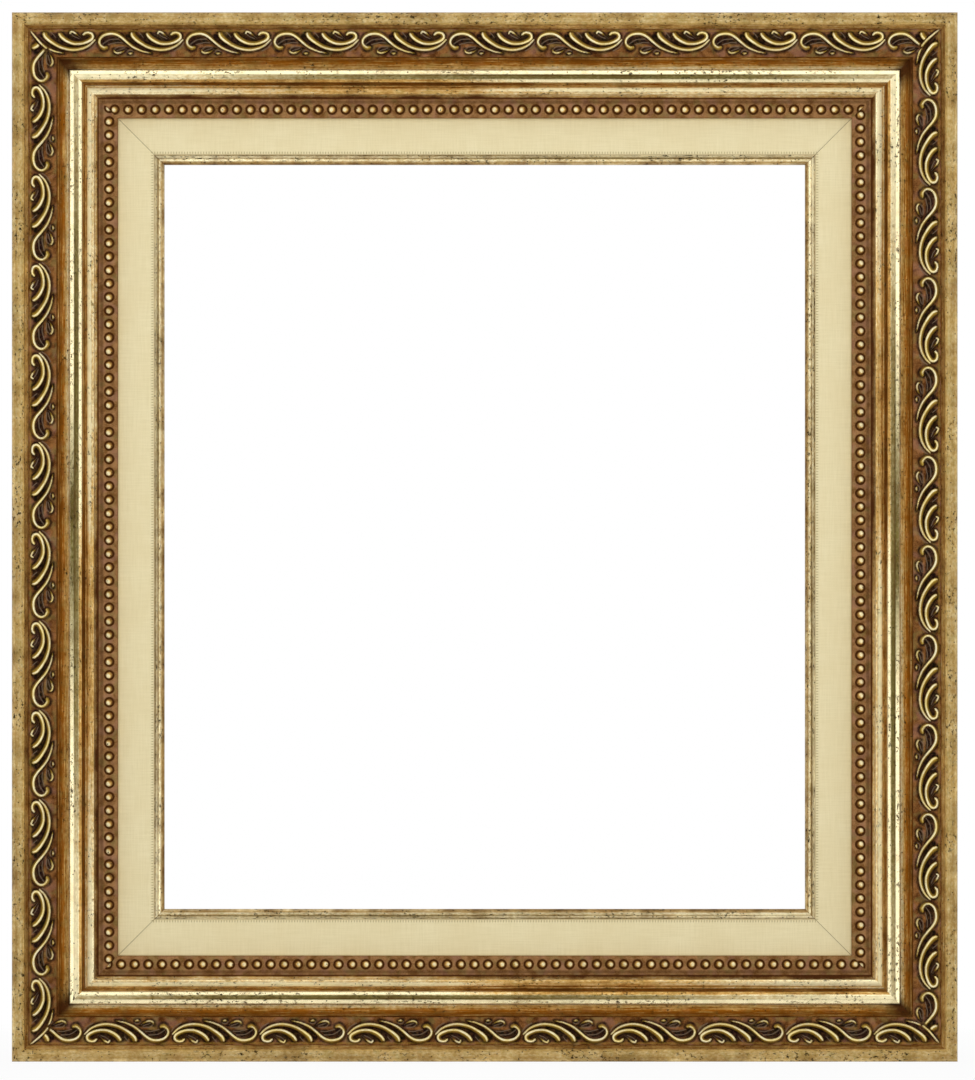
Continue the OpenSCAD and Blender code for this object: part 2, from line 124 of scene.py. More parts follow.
# How far the raw wood of the back lies in front of its nails, so that they stand just proud
NAIL_PROUD = 0.06

# How far a side's patterns lie from the next side's, so that no two sides wear alike
NEXT_SIDE = 997.0


def colour(code):
    """A colour written as six hexadecimal digits, as the shader's linear red, green, blue, alpha."""
    value = np.array([int(code[i:i + 2], 16) for i in (0, 2, 4)]) / 255
    linear = np.where(value < 0.04045, value / 12.92, ((value + 0.055) / 1.055) ** 2.4)
    return (*(float(x) for x in linear), 1.0)


def on_side(k, u, s, t):
    """Places on side k of the frame, in metres: the bottom side's, turned k quarters clockwise."""
    x = LENGTHS[k] / 2 - u
    y = s - SPANS[k] / 2
    for _ in range(k):
        x, y = y, -x
    return on_back(x, y, t)


def on_back(x, y, t):
    """Places measured from the middle of the picture, x to the right, y up and t forwards."""
    x, y, t = np.broadcast_arrays(x, y, t)
    return np.stack([x, BACK_Y - t, y + HEIGHT / 2], axis=-1) * MM


def eased(edge_low, edge_high, value):
    """Zero below the low edge, one above the high one, and a smooth cubic rise between."""
    share = np.clip((value - edge_low) / (edge_high - edge_low), 0, 1)
    return share * share * (3 - 2 * share)


def mottle(u, v, size, seed):
    """Smooth noise from 0 to 1: seeded heights on a square lattice, eased between its points."""
    cells = 97
    lattice = np.random.default_rng(seed).random((cells, cells))
    column = np.floor(u / size).astype(int)
    row = np.floor(v / size).astype(int)
    across = eased(0, 1, u / size - column)
    up = eased(0, 1, v / size - row)
    low, high = (lattice[r % cells, column % cells] * (1 - across)
                 + lattice[r % cells, (column + 1) % cells] * across for r in (row, row + 1))
    return low * (1 - up) + high * up


def polar(radius, degrees):
    """Points on a circle about the origin. Both values may be arrays."""
    angle = np.radians(degrees)
    return np.stack([radius * np.cos(angle), radius * np.sin(angle)], axis=-1)


class Shape:
    """Closed surfaces that are gathered into one mesh, with their UVs, finishes and fields."""

    def __init__(self):
        self.points = []
        self.faces = []
        self.fields = []
        self.count = 0

    def close(self, grid, uv, finish=0, fields=None, ends=True):
        """A grid of rows of points, each row a closed loop, with both end rows filled in.

        uv is an array of one more column than the grid, in metres. finish is one slot for all
        faces or one for each column. The faces turn outwards by the sign of the volume: the sum
        over their triangles of a . (b x c) / 6.
        """
        rows, columns = grid.shape[:2]
        points = grid.reshape(-1, 3)
        row, column = np.meshgrid(np.arange(rows - 1), np.arange(columns), indexing="ij")
        after = (column + 1) % columns
        quads = np.stack([row * columns + column, row * columns + after,
                          (row + 1) * columns + after, (row + 1) * columns + column], axis=-1)
        quads = quads.reshape(-1, 4)
        corners = np.stack([uv[row, column], uv[row, column + 1],
                            uv[row + 1, column + 1], uv[row + 1, column]], axis=2)
        slots = np.broadcast_to(finish, (rows - 1, columns)).reshape(-1)
        sets = [(quads, corners.reshape(-1, 4, 2), slots, True)]
        a, b, c, d = (points[quads[:, i]] for i in range(4))
        volume = (a * np.cross(b, c)).sum() + (a * np.cross(c, d)).sum()
        if ends:
            first = np.arange(columns)[None, ::-1]
            final = np.arange(columns)[None] + (rows - 1) * columns
            for face, end_uv in ((first, uv[0, -2::-1]), (final, uv[-1, :-1])):
                sets.append((face, end_uv[None], np.atleast_1d(finish)[:1], False))
                loop = points[face[0]]
                volume += (loop[0] * np.cross(loop[1:-1], loop[2:])).sum()
        way = -1 if volume < 0 else 1
        for faces, corner_uv, slot, smooth in sets:
            smooth = np.full(len(faces), smooth)
            self.faces.append((faces[:, ::way] + self.count, corner_uv[:, ::way], slot, smooth))
        self.points.append(points)
        self.fields.append({name: np.broadcast_to(value, (rows, columns)).reshape(-1)
                            for name, value in (fields or {}).items()})
        self.count += len(points)

    def close_plainly(self, place, grid):
        """A grid that place() puts on the frame, with its own first two axes as its UVs."""
        uv = np.concatenate([grid[..., :2], grid[:, :1, :2]], axis=1) * MM
        self.close(place(grid), uv)

    def build(self, name, body, slot, finishes, replaced, sharp=32.0):
        """The mesh object: it rides on its body, stands for its CAD node and has its finishes."""
        faces, uvs, slots, smooth = zip(*self.faces)
        sizes = np.concatenate([np.full(len(part), part.shape[1]) for part in faces])
        loops = np.concatenate([part.reshape(-1) for part in faces])
        mesh = bpy.data.meshes.new(name)
        mesh.vertices.add(self.count)
        mesh.loops.add(len(loops))
        mesh.polygons.add(len(sizes))
        points = np.concatenate(self.points)
        mesh.vertices.foreach_set("co", points.astype(np.float32).reshape(-1))
        mesh.loops.foreach_set("vertex_index", loops.astype(np.int32))
        starts = np.cumsum(sizes) - sizes
        mesh.polygons.foreach_set("loop_start", starts.astype(np.int32))
        mesh.polygons.foreach_set("material_index", np.concatenate(slots).astype(np.int32))
        mesh.polygons.foreach_set("use_smooth", np.concatenate(smooth))
        corners = np.concatenate([part.reshape(-1) for part in uvs])
        mesh.uv_layers.new(name="UVMap").uv.foreach_set("vector", corners.astype(np.float32))
        for field in sorted({name for fields in self.fields for name in fields}):
            values = np.concatenate([fields.get(field, np.zeros(len(part)))
                                     for fields, part in zip(self.fields, self.points)])
            made = mesh.attributes.new(field, "FLOAT", "POINT")
            made.data.foreach_set("value", values.astype(np.float32))
        mesh.update(calc_edges=True)
        mesh.set_sharp_from_angle(angle=np.radians(sharp))
        for finish in finishes:
            mesh.materials.append(finish)
        piece = bpy.data.objects.new(name, mesh)
        bpy.context.scene.collection.objects.link(piece)
        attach(piece, body)
        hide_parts(replaced)
        return piece


def arc(s, t, radius, start, end, count):
    """Points of a circle about (s, t), from the start to the end angle in degrees: 0 is inwards."""
    return polar(radius, np.linspace(start, end, count)) + (s, t)


def line(start, end, count):
    """Points on a straight line, without its end point."""
    share = np.arange(count)[:, None] / count
    return np.array(start) * (1 - share) + np.array(end) * share


def stations(k, s, count):
    """Distances along side k for points at s, in shares between its two mitre planes. The shares
    are equal but for the second and the last but one, which lie close to the mitres."""
    share = np.linspace(0, 1, count)[:, None]
    share[[1, -2], 0] = 0.0007, 0.9993
    return s + (LENGTHS[k] - 2 * s) * share


def from_mitre(k, u, s):
    """How far a place lies from the nearer end of side k, along the side."""
    return np.minimum(u - s, LENGTHS[k] - s - u)


def run(shape, k, u, s, t, finish=0, fields=None, v=None):
    """A closed profile carried along side k: the loop (s, t) repeated at each row of u.

    The pattern's coordinates are u, moved on from side to side, and the length round the profile.
    """
    u, s, t = np.broadcast_arrays(u, s, t)
    if v is None:
        steps = np.hypot(np.diff(s[0], append=s[0, :1]), np.diff(t[0], append=t[0, :1]))
        v = np.concatenate([[0], np.cumsum(steps)])
    along = np.concatenate([u, u[:, :1]], axis=1) + k * NEXT_SIDE
    uv = np.stack([along, np.broadcast_to(v, along.shape)], axis=-1) * MM
    shape.close(on_side(k, u, s, t), uv, finish, fields)


# Finishes: node trees written as plain arithmetic

class Signal:
    """A number, vector or colour on its way through a node tree. Its signs add Math nodes."""

    def __init__(self, socket):
        self.socket = socket
        self.tree = socket.id_data

    def __add__(self, other):
        return maths("ADD", self, other)

    def __sub__(self, other):
        return maths("SUBTRACT", self, other)

    def __mul__(self, other):
        return maths("MULTIPLY", self, other)

    def part(self, index):
        """One part of a vector, or of a colour's red, green and blue."""
        return made_of("ShaderNodeSeparateXYZ", {0: self}, index)


def feed(made, links):
    """Links a node's inputs to signals or sets them to plain values. Text is a colour's code."""
    for key, value in links.items():
        if isinstance(value, Signal):
            value.tree.links.new(value.socket, made.inputs[key])
        else:
            made.inputs[key].default_value = colour(value) if isinstance(value, str) else value


def node(tree, kind, links=None, **settings):
    """A node with its settings and inputs."""
    made = tree.nodes.new(kind)
    for key, value in settings.items():
        setattr(made, key, value)
    feed(made, links or {})
    return made


def made_of(kind, links, output=0, **settings):
    """What comes out of a new node, in the tree of the signals that go into it."""
    tree = next(value.tree for value in links.values() if isinstance(value, Signal))
    return Signal(node(tree, kind, links, **settings).outputs[output])


def maths(operation, first, second=0.0):
    """The result of one Math node."""
    return made_of("ShaderNodeMath", {0: first, 1: second}, operation=operation)


def mixed(share, first, second, blend="MIX"):
    """Two colours mixed by a share from 0 to 1."""
    return made_of("ShaderNodeMix", {0: share, 6: first, 7: second}, 2, data_type="RGBA",
                   blend_type=blend)


def ranged(value, low=0.0, high=1.0, new_low=0.0, new_high=1.0, kind="LINEAR"):
    """A value mapped from one range to another and kept inside it."""
    links = {0: value, 1: low, 2: high, 3: new_low, 4: new_high}
    return made_of("ShaderNodeMapRange", links, interpolation_type=kind)


def noise(vector, scale, detail=2.0, size="2D", rough=0.5, warp=0.0):
    """Noise from 0 to 1. A scale of three parts draws the noise out along an axis."""
    if isinstance(scale, tuple):
        vector = made_of("ShaderNodeVectorMath", {0: vector, 1: scale}, operation="MULTIPLY")
        scale = 1.0
    links = {"Vector": vector, "Scale": scale, "Detail": detail, "Roughness": rough,
             "Distortion": warp}
    return made_of("ShaderNodeTexNoise", links, noise_dimensions=size)


RELIEF = {"Color": ("Colour",), "Float": ("Roughness", "Height")}


def new_group(name, inputs, outputs=RELIEF):
    """An empty shader node group with named sockets: the signals given to it and its end node."""
    tree = bpy.data.node_groups.new(name, "ShaderNodeTree")
    for way, sockets in (("INPUT", inputs), ("OUTPUT", outputs)):
        for kind, labels in sockets.items():
            for label in labels:
                tree.interface.new_socket(label, in_out=way, socket_type=f"NodeSocket{kind}")
    start = tree.nodes.new("NodeGroupInput").outputs
    given = {label: Signal(start[label]) for labels in inputs.values() for label in labels}
    return given, tree.nodes.new("NodeGroupOutput")


def worn_gilding_group():
    """Gold leaf rubbed over coloured clay: streaks along the moulding, mottling, brown glaze in
    the hollows and dark specks. Its amber, olive and patina inputs also carry painted highlights
    and painted shade from the mesh. Along is in metres, along and round the profile."""
    given, end = new_group("Worn gilding", {
        "Vector": ("Along",), "Color": ("Pale", "Gold", "Deep", "Glaze"),
        "Float": ("Amber", "Olive", "Patina", "Streaks", "Specks", "Marks")})
    along = given["Along"]
    fine = noise(along, (55.0, 1500.0, 0.0), 3.0)
    broad = noise(along, (18.0, 260.0, 0.0))
    blotch = noise(along, 95.0, 4.0, rough=0.6) - 0.5
    grain = noise(along, 1500.0)
    tooth = noise(along, (500.0, 900.0, 0.0), 3.0, rough=0.6) - 0.5
    drawn = (fine - 0.5) * (given["Streaks"] * given["Amber"])
    depth = ranged(given["Amber"] + (tooth * 0.7 + (blotch * 0.45 + drawn)))
    leaf = mixed(ranged(depth, 0.0, 0.5), given["Pale"], given["Gold"])
    leaf = mixed(ranged(depth, 0.5, 1.0), leaf, given["Deep"])
    leaf = mixed(ranged(noise(along, 160.0, 1.0), 0.55, 0.75, 0.0, 0.2), leaf, "8f8a48")
    leaf = mixed(ranged(noise(along, 120.0, 1.0), 0.42, 0.25, 0.0, 0.16), leaf, "b87f50")
    leaf = mixed(1.0, leaf, ranged(broad, 0.25, 0.75, 0.91, 1.07), "MULTIPLY")
    dulled = maths("MINIMUM", tooth * 0.5 + given["Olive"], given["Olive"] * 1.3)
    leaf = mixed(ranged(dulled), leaf, "6b602e")
    # The glaze lays on real patina and painted shade alike.
    settled = (grain - 0.5) * 0.25 + (blotch * 0.7 + given["Patina"])
    settled = ranged(settled, 0.05, 1.0)
    leaf = mixed(settled, leaf, given["Glaze"])
    cell = node(along.tree, "ShaderNodeTexVoronoi", {"Vector": along, "Scale": 520.0},
                voronoi_dimensions="2D").outputs
    picked = maths("LESS_THAN", Signal(cell["Color"]).part(0), given["Specks"])
    near = ranged(grain * 0.25 + Signal(cell["Distance"]), 0.36, 0.20, kind="SMOOTHSTEP")
    ragged = ranged(noise(along, (380.0, 620.0, 0.0), 5.0, rough=0.7), 0.56, 0.70)
    region = ranged(noise(along, 42.0, 3.0, rough=0.6), 0.42, 0.66)
    speck = maths("MAXIMUM", picked * near, ranged(ragged * region * given["Marks"]))
    feed(end, {"Colour": mixed(speck, leaf, "2c1e06"),
               "Roughness": grain * 0.16 + (settled * 0.30 + 0.27),
               "Height": grain * 0.35 + fine * 0.25 - speck})
    return along.tree


def pressed_ground_group():
    """The toned ground of the pressed ornament: brown paint with rosy and green patches, dust in
    its grain and a fine tooth."""
    given, end = new_group("Pressed ground", {"Vector": ("Along",), "Color": ("Light", "Dark")})
    along = given["Along"]
    patch = noise(along, 190.0, 4.0, rough=0.62, warp=0.3)
    tooth = noise(along, 1900.0)
    share = (tooth - 0.5) * 0.5 + patch
    base = mixed(ranged(share, 0.30, 0.68), given["Dark"], given["Light"])
    base = mixed(ranged(noise(along, 130.0, 1.0), 0.52, 0.70, 0.0, 0.35), base, "9a6e5c")
    base = mixed(ranged(noise(along, 170.0), 0.48, 0.30, 0.0, 0.35), base, "7d7440")
    feed(end, {"Colour": base, "Roughness": tooth * 0.25 + 0.38, "Height": patch * 0.5 + tooth})
    return along.tree


def wood_grain_group():
    """Planed softwood: growth rings as a wave bent by noise, drawn out along the length, with
    fine pores, and grime that gathers in patches."""
    given, end = new_group("Wood grain", {
        "Vector": ("Along",), "Color": ("Early", "Late"), "Float": ("Grime",)})
    along = given["Along"]
    bend = noise(along, (9.0, 60.0, 0.0))
    ring = maths("SINE", along.part(1) * 1150.0 + bend * 34.0) * 0.5 + 0.5
    fade = noise(along, (5.0, 110.0, 0.0))
    ring = maths("POWER", ring, 1.6) * ranged(fade, 0.3, 0.7, 0.25, 1.0)
    pore = noise(along, (90.0, 4200.0, 0.0))
    base = mixed(ring, given["Early"], given["Late"])
    base = mixed(ranged(pore, 0.62, 0.80, 0.0, 0.45), base, "5c3a1e")
    smear = noise(along, 12.0, 5.0, rough=0.7)
    base = mixed(ranged(smear, 0.42, 0.72) * given["Grime"], base, "4a3828")
    feed(end, {"Colour": base, "Roughness": ranged(pore, 0.2, 0.8, 0.62, 0.82),
               "Height": ring * 0.5 + pore})
    return along.tree


def stamped_metal_group():
    """Stamped and plated metal: drawn lines, smudges that dull it, and small pits."""
    given, end = new_group("Stamped metal", {
        "Vector": ("Along",), "Color": ("Bright", "Dull"), "Float": ("Age",)})
    along = given["Along"]
    drawn = noise(along, (120.0, 2600.0, 2600.0), size="3D")
    smudge = noise(along, 170.0, 4.0, "3D", 0.6)
    pit = noise(along, 1600.0, 1.0, "3D")
    worn = ranged(smudge, 0.38, 0.66) * given["Age"]
    base = mixed(worn, given["Bright"], given["Dull"])
    feed(end, {"Colour": mixed(ranged(pit, 0.66, 0.76, 0.0, 0.55), base, "4b3d2c"),
               "Roughness": drawn * 0.14 + (worn * 0.24 + 0.26), "Height": pit * -0.4 + drawn})
    return along.tree


def weave_group():
    """Plain weave: warp and weft threads as two sine waves that pass over and under each other in
    a chequer, with slubs where noise thickens a thread."""
    given, end = new_group("Plain weave", {
        "Vector": ("Along",), "Float": ("Thread",), "Color": ("Light", "Dark")},
        {"Color": ("Colour",), "Float": ("Height",)})
    along = given["Along"]
    turn = maths("DIVIDE", np.pi, given["Thread"])
    bend = (noise(along, 260.0) - 0.5) * 1.6
    warp = maths("SINE", along.part(0) * turn + bend)
    weft = maths("SINE", along.part(1) * turn + bend)
    over = maths("GREATER_THAN", warp * weft, 0.0)
    high = maths("ABSOLUTE", warp) * (over * 0.45 + 0.55)
    low = maths("ABSOLUTE", weft) * (over * -0.45 + 1.0)
    height = (high + low) * 0.6
    slub = noise(along, (70.0, 1400.0, 0.0))
    tone = (slub + noise(along, (1400.0, 70.0, 0.0))) * 0.5 - 0.5
    tone = ranged(tone * 1.3 + ranged(height, 0.15, 0.95, 0.25, 1.0))
    feed(end, {"Colour": mixed(tone, given["Dark"], given["Light"]), "Height": slub * 0.4 + height})
    return along.tree


gilding = worn_gilding_group()
pressed = pressed_ground_group()
wood = wood_grain_group()
plated = stamped_metal_group()
weave = weave_group()


def surfaced(owner, kind, end="ShaderNodeOutputMaterial"):
    """The one shader of a material or a world, linked to its output in an otherwise empty tree."""
    owner.use_nodes = True
    tree = owner.node_tree
    tree.nodes.clear()
    shader = tree.nodes.new(kind)
    tree.links.new(shader.outputs[0], tree.nodes.new(end).inputs[0])
    return tree, shader


class Finish:
    """A material with one Principled BSDF, with the mesh's coordinates and fields on hand."""

    def __init__(self, name):
        self.material = bpy.data.materials.new(name)
        self.tree, self.shader = surfaced(self.material, "ShaderNodeBsdfPrincipled")

    def along(self):
        """The mesh's own UVs, in metres."""
        return Signal(node(self.tree, "ShaderNodeUVMap", uv_map="UVMap").outputs[0])

    def place(self):
        """The object's own coordinates, in metres."""
        return Signal(self.tree.nodes.new("ShaderNodeTexCoord").outputs["Object"])

    def field(self, name):
        """One number that the mesh carries at its points."""
        made = node(self.tree, "ShaderNodeAttribute", attribute_name=name)
        return Signal(made.outputs["Fac"])

    def group(self, tree, **links):
        """A node group with its own values, as its outputs by their names."""
        made = node(self.tree, "ShaderNodeGroup", node_tree=tree)
        feed(made, links)
        return {socket.name: Signal(socket) for socket in made.outputs}

    def close(self, base, rough, height, depth, strength, metallic, gloss=0.12):
        """Feeds the shader a colour, a roughness and a relief of the given depth in metres. Where
        a surface isn't metal, its gloss is that of old shellac, much weaker than fresh varnish."""
        relief = made_of("ShaderNodeBump", {"Height": height, "Distance": depth,
                                            "Strength": strength})
        feed(self.shader, {"Base Color": base, "Roughness": rough, "Normal": relief,
                           "Metallic": metallic, "Specular IOR Level": gloss})
        return self.material


def gilt_material(name, pale, gold, deep, streaks, specks, marks, metallic):
    """Worn gilding whose amber, patina and polish come from the mesh; the amber and patina also hold
    painted highlights and painted shade.
    """
    made = Finish(name)
    patina = made.field("patina")
    polish = made.field("polish")
    leaf = made.group(gilding, Along=made.along(), Pale=pale, Gold=gold, Deep=deep, Glaze="482404",
                      Amber=made.field("amber"), Olive=made.field("olive"), Patina=patina,
                      Streaks=streaks, Specks=specks, Marks=marks)
    shine = ranged(patina * -0.4 + (polish * 0.3 + metallic))
    return made.close(leaf["Colour"], polish * -0.16 + leaf["Roughness"], leaf["Height"],
                      depth=0.00012, strength=0.6, metallic=shine)


def toned_side_material():
    """The outer side: ochre bronze paint over gesso, brushed lengthwise and rubbed at its edges."""
    made = Finish("toned_side")
    leaf = made.group(gilding, Along=made.along(), Pale="c8a460", Gold="a87c3c", Deep="8a5a22",
                      Glaze="3a2410", Amber=0.45, Olive=0.0, Patina=made.field("patina"),
                      Streaks=0.8, Specks=0.06, Marks=0.6)
    return made.close(leaf["Colour"], leaf["Roughness"] + 0.14, leaf["Height"],
                      depth=0.00015, strength=0.7, metallic=0.25)


def raw_wood_material(name, early, late, grime):
    """Planed raw wood, its grain along the piece."""
    made = Finish(name)
    grown = made.group(wood, Along=made.along(), Early=early, Late=late, Grime=grime)
    return made.close(grown["Colour"], grown["Roughness"], grown["Height"],
                      depth=0.00012, strength=0.5, metallic=0.0)


def scroll_material():
    """Scroll strip: toned ground, near-black recesses of dark glaze and painted shadow, grey veins,
    gilt flanks that fade into painted shade and pale crests of rubbed gold and painted highlight, each
    laid on by its own field."""
    made = Finish("scroll_relief")
    along = made.along()
    ground = made.group(pressed, Along=along, Light="8c5e32", Dark="4c280a")
    grit = noise(along, 1400.0) - 0.5
    # Near-black in the recess field: dark glaze in the hollows and painted shadow beside the ribs.
    hollow = mixed(ranged(noise(along, 150.0, 1.0), 0.4, 0.6), "140e04", "180809")
    loose = ranged(grit * 0.5 + made.field("recess"), 0.15, 0.95)
    base = mixed(loose, ground["Colour"], hollow)
    base = mixed(made.field("vein"), base, "786654")
    # Gilt flanks, whose fade back to the ground is painted shade.
    flank = grit * 0.5 + made.field("flank")
    base = mixed(ranged(flank, 0.1, 1.0), base, "bc9c3a")
    # Pale crests: rubbed gold and a painted highlight.
    rubbed = ranged(grit * 0.35 + made.field("crest"), 0.2, 0.85)
    pale = mixed(ranged(noise(along, 210.0), 0.35, 0.65), "fde9a0", "fff4c8")
    base = mixed(rubbed, base, pale)
    rough = rubbed * -0.12 + ground["Roughness"]
    shine = ranged(rubbed * -0.3 + flank * 0.38)
    return made.close(base, rough, ground["Height"], depth=0.00015, strength=0.5,
                      metallic=shine, gloss=0.05)


def pearl_ground_material():
    """Ground of the pearl band: toned like the scroll band, with a dark ring about every pearl.
    The ring is drawn by the distance from the nearest pearl, out of fields at the mesh's points."""
    made = Finish("pearl_ground")
    along = made.along()
    ground = made.group(pressed, Along=along, Light="a1764a", Dark="6e481e")
    ring = (noise(along, 1700.0) - 0.5) * 0.3 + made.field("ring")
    base = mixed(ranged(ring, 0.2, 0.8), ground["Colour"], "4c2806")
    # Painted shade beside the band's outer wall and at its inner edge.
    base = mixed(made.field("wall"), base, "3a1e04")
    return made.close(base, ground["Roughness"], ground["Height"], depth=0.00015, strength=0.5,
                      metallic=0.12)


def pearl_material():
    """A pearl: thin gold over the pressed ground, glazed brown round its foot, with a painted
    highlight: pale round a spot and deeper in tone away from it.
    """
    made = Finish("gilt_pearl")
    leaf = made.group(gilding, Along=made.along(), Pale="fff2c0", Gold="dcb060", Deep="8c5e24",
                      Glaze="3c1c03", Amber=made.field("amber"), Olive=0.0,
                      Patina=made.field("patina"), Streaks=0.2, Specks=0.06, Marks=0.3)
    return made.close(leaf["Colour"], leaf["Roughness"], leaf["Height"], depth=0.0001,
                      strength=0.6, metallic=0.3)


def linen_material():
    """Natural linen glued flat: plain weave, a row of short dark stitches near the sight edge, which
    a sine along the length sets out, a dark mitre, and painted shade beside the main moulding's
    lip and at the fold beside the gilding."""
    made = Finish("natural_linen")
    along = made.along()
    cloth = made.group(weave, Along=along, Thread=0.00055, Light="eadeb6", Dark="d6c898")
    cloud = ranged(noise(along, 40.0), 0.3, 0.7, 0.0, 0.3)
    base = mixed(cloud, cloth["Colour"], "dccb9c")
    phase = along.part(0) * (2 * np.pi / (STITCH_PITCH * MM))
    stitch = ranged(maths("SINE", phase), 0.1, 0.9) * made.field("hem")
    base = mixed(stitch * 0.62, base, "84713a")
    # Painted shade beside the main moulding's lip and at the fold by the gilt edge.
    base = mixed(made.field("grime"), base, "a08c58")
    base = mixed(made.field("mitre"), base, "43381a")
    rough = ranged(cloth["Height"], 0.0, 1.0, 0.86, 0.78)
    feed(made.shader, {"Sheen Weight": 0.12, "Sheen Roughness": 0.5})
    return made.close(base, rough, stitch * -1.5 + cloth["Height"], depth=0.0001, strength=0.55,
                      metallic=0.0)


def metal_material(name, bright, dull, age):
    """Stamped metal with its drawn lines along the frame's width."""
    made = Finish(name)
    metal = made.group(plated, Along=made.place(), Bright=bright, Dull=dull, Age=age)
    return made.close(metal["Colour"], metal["Roughness"], metal["Height"], depth=0.00003,
                      strength=0.35, metallic=1.0)


def rubber_material():
    """Matt soft rubber with a fine moulded grain and dust."""
    made = Finish("bumper_rubber")
    tooth = noise(made.place(), 2200.0, size="3D")
    dust = noise(made.place(), 240.0, 3.0, "3D")
    base = mixed(ranged(dust, 0.4, 0.75), "2a2928", "4a4640")
    return made.close(base, ranged(tooth, 0.2, 0.8, 0.62, 0.85), tooth, depth=0.00006,
                      strength=0.4, metallic=0.0)


gilt_front = gilt_material("gilt_front", "fbedbe", "d8ab60", "96590c", streaks=1.5, specks=0.08,
                           marks=1.3, metallic=0.5)
gilt_rim = gilt_material("gilt_rim", "f5e4b0", "cba762", "8a6222", streaks=0.6, specks=0.10,
                         marks=1.9, metallic=0.42)
gilt_edge = gilt_material("gilt_edge", "fdf0c4", "d4b274", "a06f24", streaks=0.8, specks=0.14,
                          marks=1.5, metallic=0.5)
toned_side = toned_side_material()
raw_back = raw_wood_material("raw_back", "c79b66", "b07e4a", grime=0.3)
raw_slip = raw_wood_material("raw_slip", "d2ad7c", "bd9058", grime=0.18)
scroll_relief = scroll_material()
pearl_ground = pearl_ground_material()
gilt_pearl = pearl_material()
natural_linen = linen_material()
zinc = metal_material("zinc_plate", "b9bcc0", "85868a", age=0.6)
steel = metal_material("bright_steel", "a9a8a6", "6e6a66", age=0.7)
brass = metal_material("stamped_brass", "d9b266", "94713a", age=0.7)
bumper_rubber = rubber_material()


# The main moulding

def band(points, amber, patina, polish, finish=0):
    """A stretch of a profile, with the tones at its start and end and the finish of its faces."""
    points = np.atleast_2d(np.array(points, dtype=float))
    count = len(points)
    tones = [np.linspace(*np.broadcast_to(tone, 2), count) for tone in (amber, patina, polish)]
    return np.column_stack([points, *tones, np.full(count, finish)])


def joined(bands):
    """The stretches of a profile put end to end: s, t, amber, patina, polish and finish."""
    *parts, finish = np.concatenate(bands).T
    return *parts, finish.astype(int)


# The finishes of the moulding's faces, after the gilt front
SIDE, WOOD, RIM = 1, 2, 3
SHOULDER_S = STEP_S - SHOULDER_R
